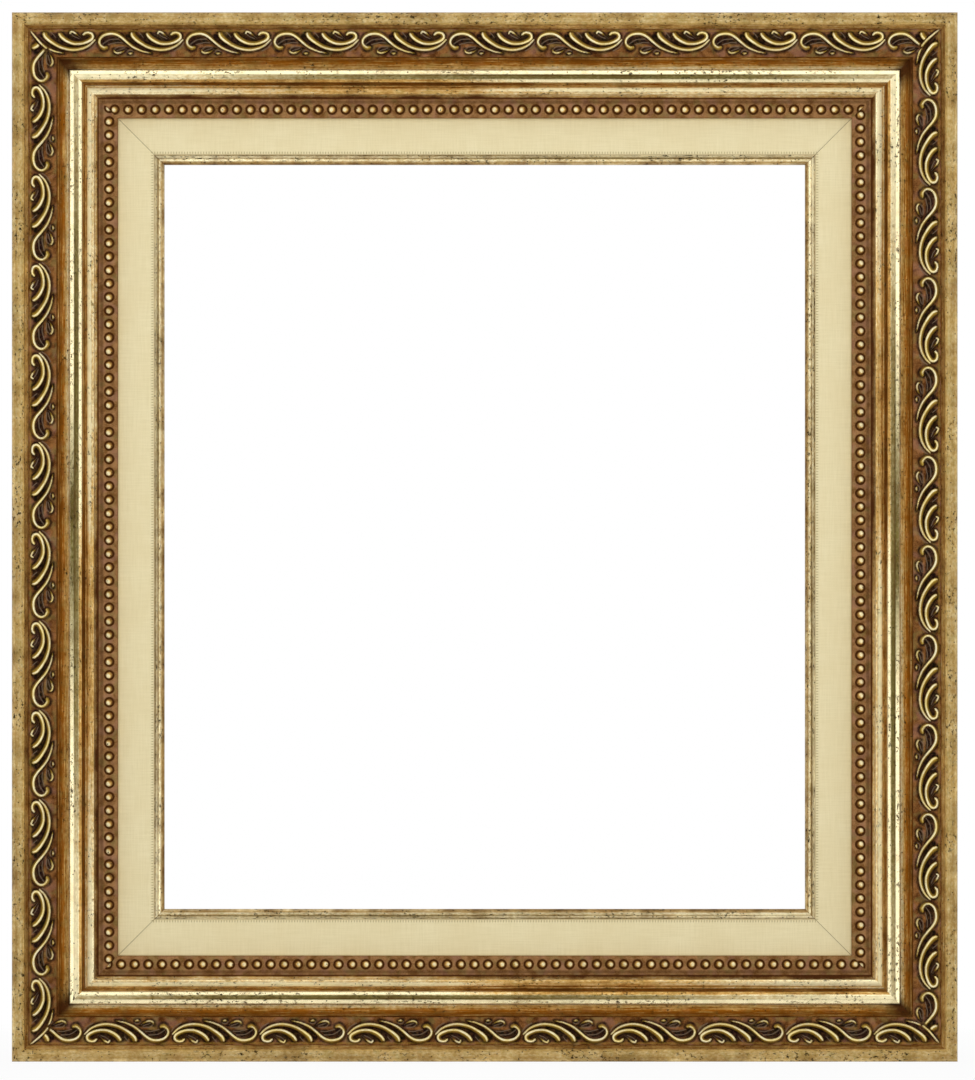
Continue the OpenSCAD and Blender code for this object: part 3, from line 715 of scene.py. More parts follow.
# The middle and the radius of the arc over the torus
TORUS_CROWN = (TORUS_MID + 0.1, 28.3, 2.5)
moulding_bands = [
    band(line((0.5, NAIL_PROUD), (0, 0.6), 1), 0.5, 0.6, 0, SIDE),
    band(line((0, 0.6), (0, 35.79), 12), 0.5, (0.25, 0.05), 0, SIDE),
    band(arc(RIM_R, DEPTH - RIM_R, RIM_R, 180, 90, 11)[:-1], (0.3, 0.45), (0.32, 0.24), 0.1, RIM),
    band(line((RIM_R, DEPTH), (SHOULDER_S, DEPTH), 6), (0.48, 0.4), (0.24, 0.06), 0.1, RIM),
    band(arc(SHOULDER_S, DEPTH - SHOULDER_R, SHOULDER_R, 90, 0, 8), (0.45, 0.8), (0.06, 0.26), 0.1,
         RIM),
    band(line((STEP_S, STEP_T), (SCROLL_S, STEP_FOOT_T), 4), 0.7, (0.4, 0.5), 0),
    band([(SCROLL_S, STEP_FOOT_T), (SCROLL_S, SCROLL_T - STRIP_T)], 0.9, 0.6, 0),
    band([(QUIRK_S, SCROLL_T - STRIP_T), (QUIRK_S, QUIRK_T), (COVE_LIP_S, QUIRK_T)], 1, 0.7, 0),
    band([(COVE_LIP_S, COVE_T), (COVE_S, COVE_T)], 0.9, 0.42, 0),
    band(arc(COVE_FOOT_S, COVE_T, COVE_R, 180, 240, 13), (1.1, 1.05), (0.35, 0.1), 0),
    band(arc(COVE_FOOT_S, COVE_T, COVE_R, 240, 270, 9)[1:], (0.85, 0.35), (0.05, 0.0), (0, 0.2)),
    band([(COVE_FOOT_S, COVE_FOOT_T), (TORUS_S, COVE_FOOT_T)], 0.35, 0.1, 0),
    band([(TORUS_S, 28.0)], 0.4, 0.5, 0.2),
    # Painted highlight: the torus's flanks take pale leaf, with little amber, and its crown deeper
    # amber.
    band(arc(TORUS_S + 0.9, 28.72, 0.9, 180, 120, 5), 0.1, (0.3, 0.0), (0.5, 1)),
    band(line((TORUS_S + 0.45, 29.50), (TORUS_MID - 1.15, 30.465), 5)[1:], 0.05, 0.0, 1),
    band(arc(*TORUS_CROWN, 120, 105, 4), (0.05, 0.4), 0.05, (0.6, -1.4)),
    band(arc(*TORUS_CROWN, 105, 72, 9)[1:-1], (0.52, 0.45), (0.04, 0.02), -1.6),
    band(arc(*TORUS_CROWN, 72, 62, 3), (0.45, 0.35), 0.02, (-1.0, 0.5)),
    band(line((TORUS_MID + 1.35, 30.39), (GROOVE_S - 0.2, 29.36), 5)[1:], 0.3, 0.02, 0.7),
    band(arc(GROOVE_S - 0.42, 28.90, 0.42, 60, 0, 5), (0.3, 0.5), (0.02, 0.2), (0.6, 0)),
    band([(GROOVE_S + 0.4, GROOVE_T), (BEAD_S, GROOVE_T)], 1.1, 0.4, 0),
    band(arc(BEAD_S + BEAD_R, BEAD_T, BEAD_R, 180, 0, 7), 0.5, 0.05, 0.3),
    band(line((BEAD_S + 2 * BEAD_R, BEAD_T), (ASTRAGAL_S - 0.65, 26.25), 2), 0.6, 0, 0),
    band([(ASTRAGAL_S - 0.65, 26.25), (ASTRAGAL_S - 0.6, 26.42)], 0.5, 0.1, -0.3),
    # Painted highlight: the astragal's outer slope takes pale leaf with little shine.
    band(line((ASTRAGAL_S - 0.53, 26.50), (ASTRAGAL_MID - 0.5, 27.41), 4), (0.3, 0), 0, (-0.5, -0.8)),
    band(arc(ASTRAGAL_MID - 0.04, 26.53, 1.0, 118, 62, 7), (0.1, 0.3), 0, (-0.8, -1.2)),
    band(line((ASTRAGAL_MID + 0.43, 27.41), (SMALL_COVE_S - 0.2, 26.98), 3)[1:], 0.25, 0, 0.8),
    band([(SMALL_COVE_S - 0.05, 26.75)], 0.35, 0.1, 0.2),
    band(arc(PEARL_LIP_S, ASTRAGAL_T, SMALL_COVE_R, 180, 270, 9), (0.3, 0.7), (0.0, 0.6), 0),
    band([(PEARL_LIP_S, PEARL_T), (PEARL_S, PEARL_T)], 1.0, 1.0, 0),
    band([(PEARL_S, PEARL_T - STRIP_T), (MOULDING_W, PEARL_T - STRIP_T)], 0.6, 1, 0),
    band(line((MOULDING_W, PEARL_T - STRIP_T), (MOULDING_W, REBATE_T), 2), 0.5, 0.5, 0),
    band([(MOULDING_W, REBATE_T), (REBATE_S, REBATE_T)], 0, 0, 0, WOOD),
    band(line((REBATE_S, REBATE_T), (REBATE_S, 0.6), 4)[1:], 0, 0, 0, WOOD),
    band([(REBATE_S, 0.5), (REBATE_S - 0.5, NAIL_PROUD)], 0, 0, 0, WOOD),
]

# Wear along a side, and lengthwise changes in the highlights and shade painted into the tone: from s,
# to s, shares of the side's length, then amber and patina added there and the olive toning. Values
# between the shares lie on straight lines.
MOULDING_WEAR = [
    (7.0, 9.4, (0.48, 0.57), (0.0, -0.1), (0.1, -0.12), 0.0),
    (28.6, 29.9, (0.48, 0.57), (0.15, -0.15), 0.0, 0.0),
    (30.9, 33.0, (0.1, 0.3, 0.47, 0.63), (-0.35, -0.2, 0.0, -0.3), (-0.3, -0.2, 0.05, -0.25),
     (0.0, 0.0, 0.2, 0.0)),
    (33.0, 35.3, (0.08, 0.2, 0.32, 0.64, 0.78, 0.92), (-0.6, -0.35, -0.15, -0.05, -0.1, -0.3),
     (0.0, 0.0, 0.1, 0.2, 0.12, 0.0), (0.0, 0.22, 0.75, 1.0, 0.9, 0.45)),
    (33.3, 33.7, (0.3, 0.5, 0.9), 0.0, (0.0, 0.4, 0.15), 0.0),
    (35.6, 37.0, (0.44, 0.57), (0.35, -0.5), (0.12, -0.3), (0.12, 0.0)),
    (37.3, 38.5, (0.1, 0.45, 0.58), (0.0, 0.1, -0.5), (0.0, 0.15, -0.25), 0.0),
    (38.6, 39.5, (0.1, 0.3, 0.5), (-0.2, 0.05, 0.2), (0.0, 0.0, 0.12), 0.0),
    (39.9, 41.7, (0.1, 0.35, 0.47, 0.57), (-0.35, 0.5, 0.45, -0.4), (-0.3, 0.15, 0.1, -0.4), 0.0),
    (41.9, 43.3, (0.1, 0.35, 0.47, 0.6), (-0.3, 0.3, 0.25, 0.0), (-0.2, 0.1, 0.05, -0.1),
     (0.0, 0.15, 0.15, 0.15)),
    (43.6, 44.9, (0.49, 0.57), (0.0, -0.15), (0.42, -0.1), 0.0),
    (45.2, 46.0, (0.49, 0.57), 0.0, (0.45, 0.25), 0.0),
]
UPRIGHT_WEAR = [
    (30.9, 33.0, (0.28, 0.4, 0.53, 0.6, 0.68), 0.0, (0.0, 0.1, 0.35, 0.1, 0.0),
     (0.0, 0.5, 0.9, 0.5, 0.0)),
]
EDGE_WEAR = [
    (75.2, 76.3, (0.12, 0.32, 0.5, 0.6), (-0.4, -0.1, -0.1, -0.4), 0.0, (0.0, 0.28, 0.28, 0.0)),
    (76.4, 77.4, (0.18, 0.3, 0.48, 0.58, 0.85), (-0.4, -0.2, -0.2, -0.1, -0.1), 0.0,
     (0.0, 0.05, 0.15, 0.5, 0.3)),
    (77.5, 78.6, (0.18, 0.4, 0.8), (-0.1, 0.1, 0.1), 0.0, (0.0, 0.3, 0.2)),
    (79.9, 80.9, (0.48, 0.57), (0.0, -0.25), (0.1, 0.0), (0.15, 0.0)),
]


def worn_along(table, share, s):
    """Added amber and patina and the olive toning, as three fields, which hold wear and painted
    highlights and shade. Each band of the table fades over 0.3 mm at its edges."""
    added = np.zeros((3, *np.broadcast_shapes(share.shape, s.shape)))
    for low, high, shares, *tones in table:
        weight = eased(low - 0.3, low, s) * eased(high + 0.3, high, s)
        for field, values in zip(added, tones):
            field += weight * np.interp(share, shares, np.broadcast_to(values, len(shares)))
    return added


def moulding(k):
    """Side k of the moulding. Its rim is rubbed down unevenly: noise takes up to a quarter of a
    millimetre off the top and the edges. The cove has fine lines along it, as a sine of s, and
    painted shade that deepens exponentially towards the mitres, where two coves meet in a corner."""
    s, t, amber, patina, polish, finish = joined(moulding_bands)
    u = stations(k, s, 240)
    rim = eased(33.6, 36.0, t) * (s < SCROLL_S)
    worn = mottle(u + 131.0 * k, s, 9.0, 3) * 0.16 + mottle(u + 57.0 * k, s, 2.6, 4) * 0.07
    inwards = np.where(t > 1, s + eased(0.1, 0.0, s) * rim * worn, s)
    shown = (t > 19) & (finish != SIDE)
    rubbed = (mottle(u + 71.0 * k, s, 13.0, 5) - 0.5) * 0.3
    wear = MOULDING_WEAR + (UPRIGHT_WEAR if k % 2 else [])
    more_amber, more_patina, olive = worn_along(wear, u / LENGTHS[k], s)
    in_cove = eased(24.0, 24.9, s) * eased(31.6, 30.0, s)
    # Painted shade: the cove darkens towards both mitres, through the patina and olive fields, where
    # two coves meet in a corner.
    corner = 1.5 * np.exp((s - u) / 7) + 1.2 * np.exp((s + u - LENGTHS[k]) / 3)
    corner = np.minimum(corner, 0.95) * in_cove
    lines = 0.22 * np.sin(2 * np.pi * s / 0.9) * in_cove * mottle(u, s, 30.0, 6)
    shape = Shape()
    run(shape, k, u, inwards, t - rim * worn, finish,
        {"amber": amber + (more_amber + lines) * shown,
         "patina": np.clip(patina + (rubbed + more_patina + corner) * shown, -0.4, 1),
         "olive": np.clip(olive + 0.6 * corner, 0, 1) * shown, "polish": polish})
    shape.build(f"{SIDES[k]}_moulding", "frame", "gilt_moulding",
                [gilt_front, toned_side, raw_back, gilt_rim], f"{SIDES[k]}_rail")


# The scroll ornament: rows of shares of the pitch, the band, a rib's full width and its gilding

S_RIB = [(0.085, 0.680, 0.98, 0.6), (0.055, 0.695, 1.15, 0.8), (0.020, 0.620, 0.92, 0.9),
         (0.000, 0.500, 0.76, 1.0), (0.008, 0.360, 0.76, 1.0), (0.040, 0.240, 0.86, 1.0),
         (0.085, 0.168, 1.03, 1.0), (0.145, 0.140, 1.15, 1.0), (0.205, 0.175, 1.09, 1.0),
         (0.265, 0.295, 0.92, 1.0), (0.330, 0.480, 0.83, 1.0), (0.401, 0.650, 0.78, 1.0),
         (0.490, 0.782, 0.54, 1.0), (0.548, 0.834, 0.38, 0.9), (0.602, 0.862, 0.20, 0.3)]
LONG_RIB = [(0.388, 0.190, 1.44, 0.75), (0.405, 0.285, 1.44, 0.92), (0.464, 0.448, 1.25, 1.0),
            (0.551, 0.612, 1.12, 1.0), (0.640, 0.702, 1.06, 1.0), (0.730, 0.726, 1.02, 1.0),
            (0.820, 0.672, 0.90, 1.0), (0.895, 0.558, 0.69, 1.0), (0.955, 0.390, 0.38, 1.0)]
HOOK_RIB = [(0.562, 0.190, 1.22, 0.75), (0.586, 0.285, 1.28, 0.92), (0.640, 0.412, 1.22, 1.0),
            (0.715, 0.503, 1.16, 1.0), (0.805, 0.500, 1.10, 1.0), (0.878, 0.420, 1.10, 1.0),
            (0.920, 0.315, 1.10, 0.9), (0.916, 0.205, 1.04, 0.9), (0.886, 0.155, 0.92, 1.0),
            (0.852, 0.160, 0.88, 1.0), (0.832, 0.205, 0.76, 1.0)]
UPPER_LEAF = [(0.672, 0.150, 0.48, 1.0), (0.688, 0.085, 0.57, 1.0), (0.725, 0.130, 0.55, 0.9),
              (0.765, 0.240, 0.30, 0.2), (0.806, 0.340, 0.16, 0.0)]
LOWER_LEAF = [(0.172, 0.745, 0.40, 0.2), (0.184, 0.820, 0.55, 1.0), (0.222, 0.850, 0.61, 1.0),
              (0.275, 0.805, 0.40, 0.5), (0.315, 0.725, 0.15, 0.0)]
DROP = [(0.340, 0.862, 0.44, 0.3), (0.357, 0.874, 0.56, 1.0), (0.376, 0.862, 0.44, 0.6)]
RIBS = [S_RIB, LONG_RIB, HOOK_RIB, UPPER_LEAF, LOWER_LEAF, DROP]
# The stretch of the first rib that crosses the mitre
CORNER_RIB = [(0.222, 0.070, 0.20, 0.6), (0.240, 0.140, 0.42, 1.0), (0.285, 0.304, 0.60, 1.0),
              (0.343, 0.507, 0.72, 1.0), (0.401, 0.660, 0.76, 1.0)]
VEINS = [
    [(0.041, 0.550), (0.094, 0.434), (0.139, 0.376), (0.228, 0.365)],
    [(0.109, 0.560), (0.161, 0.518), (0.213, 0.482), (0.266, 0.500)],
    [(0.176, 0.753), (0.199, 0.670), (0.236, 0.635), (0.296, 0.655)],
    [(0.205, 0.790), (0.245, 0.740), (0.290, 0.705)],
    [(0.324, 0.850), (0.335, 0.790), (0.363, 0.765), (0.388, 0.800)],
    [(0.685, 0.190), (0.723, 0.282), (0.775, 0.345)],
    [(0.455, 0.120), (0.480, 0.200), (0.505, 0.300)],
    [(0.972, 0.480), (0.930, 0.660), (0.860, 0.790)],
]
# Sunk leaves between the ribs, as outlines in shares of the pitch and of the band
LEAVES = [
    [(0.030, 0.560), (0.024, 0.420), (0.060, 0.290), (0.110, 0.230), (0.180, 0.250),
     (0.240, 0.370), (0.300, 0.520), (0.345, 0.650), (0.300, 0.600), (0.240, 0.575),
     (0.170, 0.555), (0.110, 0.580), (0.070, 0.620)],
    [(0.330, 0.130), (0.372, 0.200), (0.410, 0.380), (0.470, 0.540), (0.560, 0.690),
     (0.640, 0.790), (0.560, 0.830), (0.470, 0.740), (0.380, 0.570), (0.300, 0.330),
     (0.290, 0.190)],
    [(0.420, 0.130), (0.450, 0.230), (0.470, 0.120), (0.520, 0.110), (0.550, 0.200),
     (0.580, 0.380), (0.640, 0.540), (0.720, 0.630), (0.820, 0.630), (0.900, 0.540),
     (0.950, 0.380), (0.955, 0.440), (0.900, 0.600), (0.820, 0.710), (0.730, 0.720),
     (0.640, 0.690), (0.550, 0.590), (0.470, 0.400), (0.420, 0.240)],
    [(0.600, 0.110), (0.650, 0.110), (0.690, 0.110), (0.760, 0.270), (0.830, 0.270),
     (0.880, 0.180), (0.905, 0.240), (0.890, 0.360), (0.820, 0.470), (0.720, 0.470),
     (0.640, 0.360)],
    [(0.165, 0.830), (0.180, 0.690), (0.230, 0.620), (0.320, 0.610), (0.390, 0.700),
     (0.340, 0.760), (0.290, 0.850), (0.230, 0.900), (0.190, 0.890)],
]


def smooth_path(table, count=9):
    """A path through a table's rows in millimetres, by Catmull-Rom cubics between the rows."""
    rows = np.array([(*row, 0.0, 0.0)[:4] for row in table])
    rows = rows * (SCROLL_PITCH, SCROLL_W, RIB_W, 1.0)
    rows = np.vstack([2 * rows[0] - rows[1], rows, 2 * rows[-1] - rows[-2]])
    a, b, c, d = (part[:, None] for part in (rows[:-3], rows[1:-2], rows[2:-1], rows[3:]))
    f = (np.arange(count) / count)[None, :, None]
    path = (2 * b + (c - a) * f + (2 * a - 5 * b + 4 * c - d) * f ** 2
            + (3 * b - a - 3 * c + d) * f ** 3) / 2
    return np.vstack([path.reshape(-1, 4), rows[-2]])


def nearest(places, path):
    """For each place: how far it is from the path, on which side of it, and how wide and how
    gilded the path is there. It is the least distance over the path's straight pieces."""
    start = path[:-1, :2]
    step = path[1:, :2] - start
    offset = places[:, None, :] - start[None]
    share = np.clip((offset * step).sum(-1) / (step ** 2).sum(-1), 0, 1)
    apart = offset - share[..., None] * step
    distance = np.hypot(apart[..., 0], apart[..., 1])
    best = distance.argmin(1)
    rows = np.arange(len(places))
    turn = step[best, 0] * apart[rows, best, 1] - step[best, 1] * apart[rows, best, 0]
    there = path[best, 2:] + share[rows, best, None] * (path[best + 1, 2:] - path[best, 2:])
    return distance[rows, best], np.sign(turn), there[:, 0], there[:, 1]


def inside(places, outline):
    """Whether each place lies inside a closed outline, by counting the edges to one side of it."""
    start = outline[:-1]
    end = outline[1:]
    x, y = places[:, 0:1], places[:, 1:2]
    spans = (start[:, 1] > y) != (end[:, 1] > y)
    rise = np.where(end[:, 1] == start[:, 1], 1e-9, end[:, 1] - start[:, 1])
    crossing = start[:, 0] + (y - start[:, 1]) * (end[:, 0] - start[:, 0]) / rise
    return ((x < crossing) & spans).sum(1) % 2 == 1


MOTIF_STEP = 0.1
CREST_LEAN = 0.40


def motif(ribs, veins, leaves):
    """One scroll as fields on a lattice: height above the ground, recess, flank, crest and vein.

    A rib rises as a sine from each foot to a crest that lies to one side of its middle. Its
    height grows with its width. The ground sinks in the leaves and in a narrow band beside
    each rib, which the recess field darkens as dark glaze and painted shadow, and the veins
    stand up in the leaves as fine ridges. The gilding fades out down the wider flank into
    painted shade, and a pale line of even width along the crest is rubbed gold and a painted
    highlight.
    """
    columns = int(SCROLL_PITCH / MOTIF_STEP)
    rows = int(SCROLL_W / MOTIF_STEP) + 1
    u, s = np.meshgrid(np.arange(columns) * MOTIF_STEP, np.arange(rows) * MOTIF_STEP)
    places = np.stack([u.ravel(), s.ravel()], axis=1)
    height, recess, flank, crest, vein, ribbed = np.zeros((6, len(places)))

    def beside(path, reach):
        """The places near a path and their numbers, for the scroll and its two neighbours."""
        for shift in (-SCROLL_PITCH, 0.0, SCROLL_PITCH):
            along = places[:, 0] + shift
            close = np.flatnonzero((along > path[:, 0].min() - reach)
                                   & (along < path[:, 0].max() + reach))
            yield places[close] + (shift, 0), close

    def raise_to(field, close, values):
        """Each place takes the higher of its value and the new one."""
        field[close] = np.maximum(field[close], values)

    for outline in leaves:
        edge = np.array(outline + outline[:1]) * (SCROLL_PITCH, SCROLL_W)
        for near, close in beside(edge, 2):
            apart = nearest(near, np.pad(edge, ((0, 0), (0, 2))))[0]
            depth = np.where(inside(near, edge), eased(-0.3, 0.8, apart), eased(0.4, -0.4, apart))
            raise_to(recess, close, depth * (0.72 + 0.28 * mottle(*near.T, 1.3, 9)))
    height -= 0.55 * recess
    for path in map(smooth_path, veins):
        for near, close in beside(path, 1):
            fine = eased(0.30, 0.05, nearest(near, path)[0])
            raise_to(vein, close, fine)
            height[close] += 0.28 * fine
    for path in map(smooth_path, ribs):
        for near, close in beside(path, 4):
            distance, turn, width, gilt = nearest(near, path)
            half = width / 2
            across = turn * distance / half
            rise = np.where(across < CREST_LEAN, (across + 1) / (1 + CREST_LEAN),
                            (1 - across) / (1 - CREST_LEAN))
            rise = np.sin(np.clip(rise, 0, 1) * np.pi / 2)
            peak = RIB_H * (0.35 + 0.65 * np.minimum(1, width / (0.9 * RIB_W)))
            raise_to(ribbed, close, rise * peak)
            gap = distance - half
            # Painted shadow with dark glaze: the ground beside each rib is sunk and darkened, further
            # on one side than the other.
            sunk = eased(np.where(across > 0, 2.2, 1.8), 0.15, gap) * eased(0.05, 0.5, width)
            sunk *= 0.6 + 0.4 * mottle(*near.T, 1.7, 8)
            raise_to(recess, close, sunk)
            height[close] -= 0.25 * sunk * (gap > 0)
            # Painted shade: the gilding fades out down the wider flank.
            faded = np.where(across < CREST_LEAN, eased(-1.15, 0.3, across),
                             eased(1.0, 0.6, across))
            raise_to(flank, close, faded * eased(0, 0.6, gilt))
            # Painted highlight on rubbed gold: a pale line along the crest.
            lit = eased(0.80, 0.25, abs(across - CREST_LEAN) * half)
            raise_to(crest, close, lit * eased(1.0, 0.75, across) * eased(0.3, 1.0, gilt))
            raise_to(vein, close, eased(0.5, 0.9, rise) * eased(0.5, 0.0, gilt))
    height = np.maximum(height, np.where(ribbed > 0, ribbed, height))
    vein *= 1 - flank
    recess *= 1 - flank
    up = s.ravel()
    recess *= 0.3 + 0.7 * eased(0.2, 1.9, up) * eased(SCROLL_W, SCROLL_W - 0.6, up)
    flank = np.maximum(flank, 0.3 * eased(1.9, 1.2, up) * eased(0.3, 0.9, up))
    inner = eased(6.5, 8.5, up)
    crest *= 1 - 0.35 * inner
    flank *= 1 - 0.12 * inner
    return [field.reshape(rows, columns) for field in (height, recess, flank, crest, vein)]


scroll_motif = motif(RIBS, VEINS, LEAVES)
corner_motif = motif([CORNER_RIB], [], [])


def sampled(fields, across, up):
    """Fields of the motif at any place, with the pitch wrapped round, by the four values about it."""
    rows, columns = fields[0].shape
    column = np.floor(across).astype(int)
    row = np.clip(np.floor(up).astype(int), 0, rows - 2)
    x = across - column
    y = np.clip(up - row, 0, 1)
    for field in fields:
        low, high = (field[r, column % columns] * (1 - x) + field[r, (column + 1) % columns] * x
                     for r in (row, row + 1))
        yield low * (1 - y) + high * y


def fitted_pitch(k):
    """The scrolls' pitch on side k, which brings in a whole number of them."""
    length = LENGTHS[k] - SCROLL_LEAD - SCROLL_TAIL
    return length / max(1, round(length / SCROLL_PITCH))


def closed_row(top):
    """The row of s round a strip: its top, and the two edges of its underside."""
    return np.concatenate([top, top[[-1, 0]]])


def strip(k, u, top, t, back_t, start, width, fields):
    """A strip of ornament as a closed slab. The pattern runs over its top and is let go behind."""
    s = closed_row(top)
    t = np.concatenate([t, np.full((len(u), 2), back_t)], axis=1)
    v = np.concatenate([top - start, [width + 2, 2 * width + 2, 2 * width + 4]])
    fields = {name: np.pad(field, ((0, 0), (0, 2))) for name, field in fields.items()}
    shape = Shape()
    run(shape, k, u, s, t, 0, fields, v)
    return shape


def scrolls(k):
    """Side k's strip of scrolls: the motif at its fitted pitch, as a closed slab. Near the end the
    first rib of the next side is laid over the mitre, in that side's own places."""
    top = np.linspace(SCROLL_S + 0.05, QUIRK_S - 0.05, 46)
    u = stations(k, closed_row(top), int(LENGTHS[k] / SCROLL_ROW))
    on_top = u[:, :-2]
    left = LENGTHS[k] - on_top
    across = (on_top - SCROLL_LEAD) / fitted_pitch(k) * SCROLL_PITCH / MOTIF_STEP
    up = np.broadcast_to((top - SCROLL_S) / MOTIF_STEP, across.shape)
    next_share = (np.broadcast_to(top, across.shape) - SCROLL_LEAD) / fitted_pitch((k + 1) % 4)
    next_across = next_share * SCROLL_PITCH / MOTIF_STEP
    fields = list(sampled(scroll_motif, across, up))
    past = list(sampled(corner_motif, next_across, (left - SCROLL_S) / MOTIF_STEP))
    own = list(sampled(corner_motif, across, up))
    for laid, apart in ((past, left - top), (own, on_top - top)):
        cover = np.clip(laid[1] + laid[2] + laid[3], 0, 1) * eased(3.6, 2.8, apart)
        fields = [field * (1 - cover) + over * cover for field, over in zip(fields, laid)]
    height, *marks = fields
    t = height + (mottle(on_top, top, 2.2, 11 + k) - 0.5) * 0.12 + SCROLL_T
    shape = strip(k, u, top, t, SCROLL_T - STRIP_T, SCROLL_S, SCROLL_W,
                  dict(zip(("recess", "flank", "crest", "vein"), marks)))
    shape.build(f"{SIDES[k]}_scrolls", "frame", "scroll_ornament", [scroll_relief],
                f"{SIDES[k]}_scroll_strip", 60.0)


def pearls(k):
    """Side k's strip of pearls: a slab with a round groove about each pearl, and the domes.

    The groove's depth is a sine over its width. A dome is a half sphere on a short foot, and the
    last one stops at the mitre plane.
    """
    length = LENGTHS[k] - PEARL_LEAD - PEARL_TAIL
    count = max(1, round(length / PEARL_PITCH))
    pitch = length / count
    top = np.linspace(PEARL_S, MOULDING_W, 31)
    u = stations(k, closed_row(top), int(LENGTHS[k] / PEARL_ROW))
    on_top = u[:, :-2]
    at = np.clip(np.round((on_top - PEARL_LEAD) / pitch), 0, count) * pitch + PEARL_LEAD
    reach = np.hypot(on_top - at, top - PEARL_ROW_S)
    groove = np.sin(np.pi * np.clip((reach - RING_INNER) / (RING_R - RING_INNER), 0, 1))
    tooth = (mottle(on_top, top, 1.6, 21 + k) - 0.5) * 0.14 * (reach > RING_R)
    lip = eased(MOULDING_W - 0.8, MOULDING_W - 0.1, top) * 0.35
    # Painted shade: the ground darkens beside the wall at the band's outer edge and along its inner
    # edge.
    wall = (eased(PEARL_S + 0.5, PEARL_S + 1.0, top) * eased(PEARL_S + 3.0, PEARL_S + 2.0, top) * 0.5
            + eased(MOULDING_W - 0.6, MOULDING_W, top) * 0.5
            + eased(PEARL_S + 0.7, PEARL_S + 0.1, top) * 0.45)
    shape = strip(k, u, top, PEARL_T - 0.6 * groove + tooth - lip, PEARL_T - STRIP_T, PEARL_S,
                  MOULDING_W - PEARL_S, {"ring": eased(RING_R + 0.1, RING_R - 0.45, reach),
                                         "wall": np.broadcast_to(wall, reach.shape)})
    rise = np.radians([-20, 8, 25, 48, 68, 82])[:, None]
    circle = polar(1.0, np.arange(18) * 20.0)
    radius = PEARL_R * np.cos(np.maximum(rise, 0))
    dome_t = PEARL_T + np.where(rise < 0, -0.7, PEARL_R * np.sin(rise))
    # Painted highlight: each dome is pale round a spot off its middle and deeper amber away from it,
    # toward a different side on the level and the upright sides.
    bright = (-0.35, 0.05) if k % 2 == 0 else (-0.35, -0.45)
    dull = eased(0.95, 0.4, np.cos(rise) * (circle @ bright) + 0.85 * np.sin(rise))
    # Patina: brown glaze round the foot, and painted shade away from the highlight.
    foot = np.array([1, 0.7, 0.25, 0.0, 0.0, 0.0])[:, None] + 0.15 * dull
    for middle in PEARL_LEAD + np.arange(count + 1) * pitch:
        dome_s = PEARL_ROW_S + radius * circle[:, 1]
        dome_u = np.minimum(middle + radius * circle[:, 0], LENGTHS[k] - dome_s)
        uv = np.stack([dome_u + k * NEXT_SIDE, dome_s], axis=-1) * MM
        shape.close(on_side(k, dome_u, dome_s, dome_t), np.concatenate([uv, uv[:, :1]], axis=1), 1,
                    {"patina": foot, "amber": 0.9 * dull})
    shape.build(f"{SIDES[k]}_pearls", "frame", "pearl_ornament", [pearl_ground, gilt_pearl],
                f"{SIDES[k]}_pearl_strip", 50.0)


# The slip with its linen and its gilt sight edge

UNDER_LINEN = [(PICTURE_S, LINEN_FOOT_T), (MOULDING_W, SLIP_FRONT_T), (SLIP_S, SLIP_FRONT_T)]


def slip_wood(k):
    """Side k of the slip: a flat back, a wall beside the picture and a face that falls inwards."""
    back_t = SLIP_BACK_T + NAIL_PROUD
    s, t = np.concatenate([line((SLIP_S, back_t), (PICTURE_S, back_t), 8),
                           line((PICTURE_S, back_t), (PICTURE_S, LINEN_FOOT_T), 4), UNDER_LINEN]).T
    shape = Shape()
    run(shape, k, stations(k, s, 16), s, t)
    shape.build(f"{SIDES[k]}_slip_wood", "frame", "slip_wood", [raw_slip], f"{SIDES[k]}_slip")


def linen_cover(k):
    """Side k's strip of linen, glued to the slip: it follows the sloping face and is turned under
    at the sight edge, where the cloth makes a soft round fold. Noise lifts it by a few
    hundredths of a millimetre, as glued cloth lies."""
    fall = (SLIP_FRONT_T - LINEN_FOOT_T) / (PICTURE_S - MOULDING_W)
    top = np.concatenate([np.linspace(SLIP_S, MOULDING_W, 4)[:-1],
                          np.linspace(MOULDING_W, 74.9, 48)])
    face = REBATE_T - np.maximum(0, top - MOULDING_W) * fall
    fold = arc(LINEN_END_S - 0.25, LINEN_FOOT_T + 0.25, 0.24, 80, -80, 5)
    s, t = np.concatenate([np.column_stack([top, face]), fold, UNDER_LINEN]).T
    u = stations(k, s, 300)
    shown = (t > REBATE_T - 2) & (s > MOULDING_W) & (s < 75)
    lift = (mottle(u + 211.0 * k, s, 7.0, 31) - 0.5) * 0.06 * shown
    hem = eased(73.4, 74.2, s) * eased(75.0, 74.8, s) * (np.arange(len(s)) < len(top))
    mitre = 0.95 * eased(0.3, 0.0, from_mitre(k, u, s))
    # Painted shade: darker under the main moulding's lip and at the fold by the gilt edge.
    grime = 0.35 * eased(MOULDING_W + 0.9, MOULDING_W, s) + 0.4 * eased(74.6, 75.3, s)
    shape = Shape()
    run(shape, k, u, s, t + lift, 0, {"hem": hem, "mitre": mitre, "grime": grime})
    piece = shape.build(f"{SIDES[k]}_linen_cover", "frame", "linen", [natural_linen],
                        f"{SIDES[k]}_linen", 50.0)


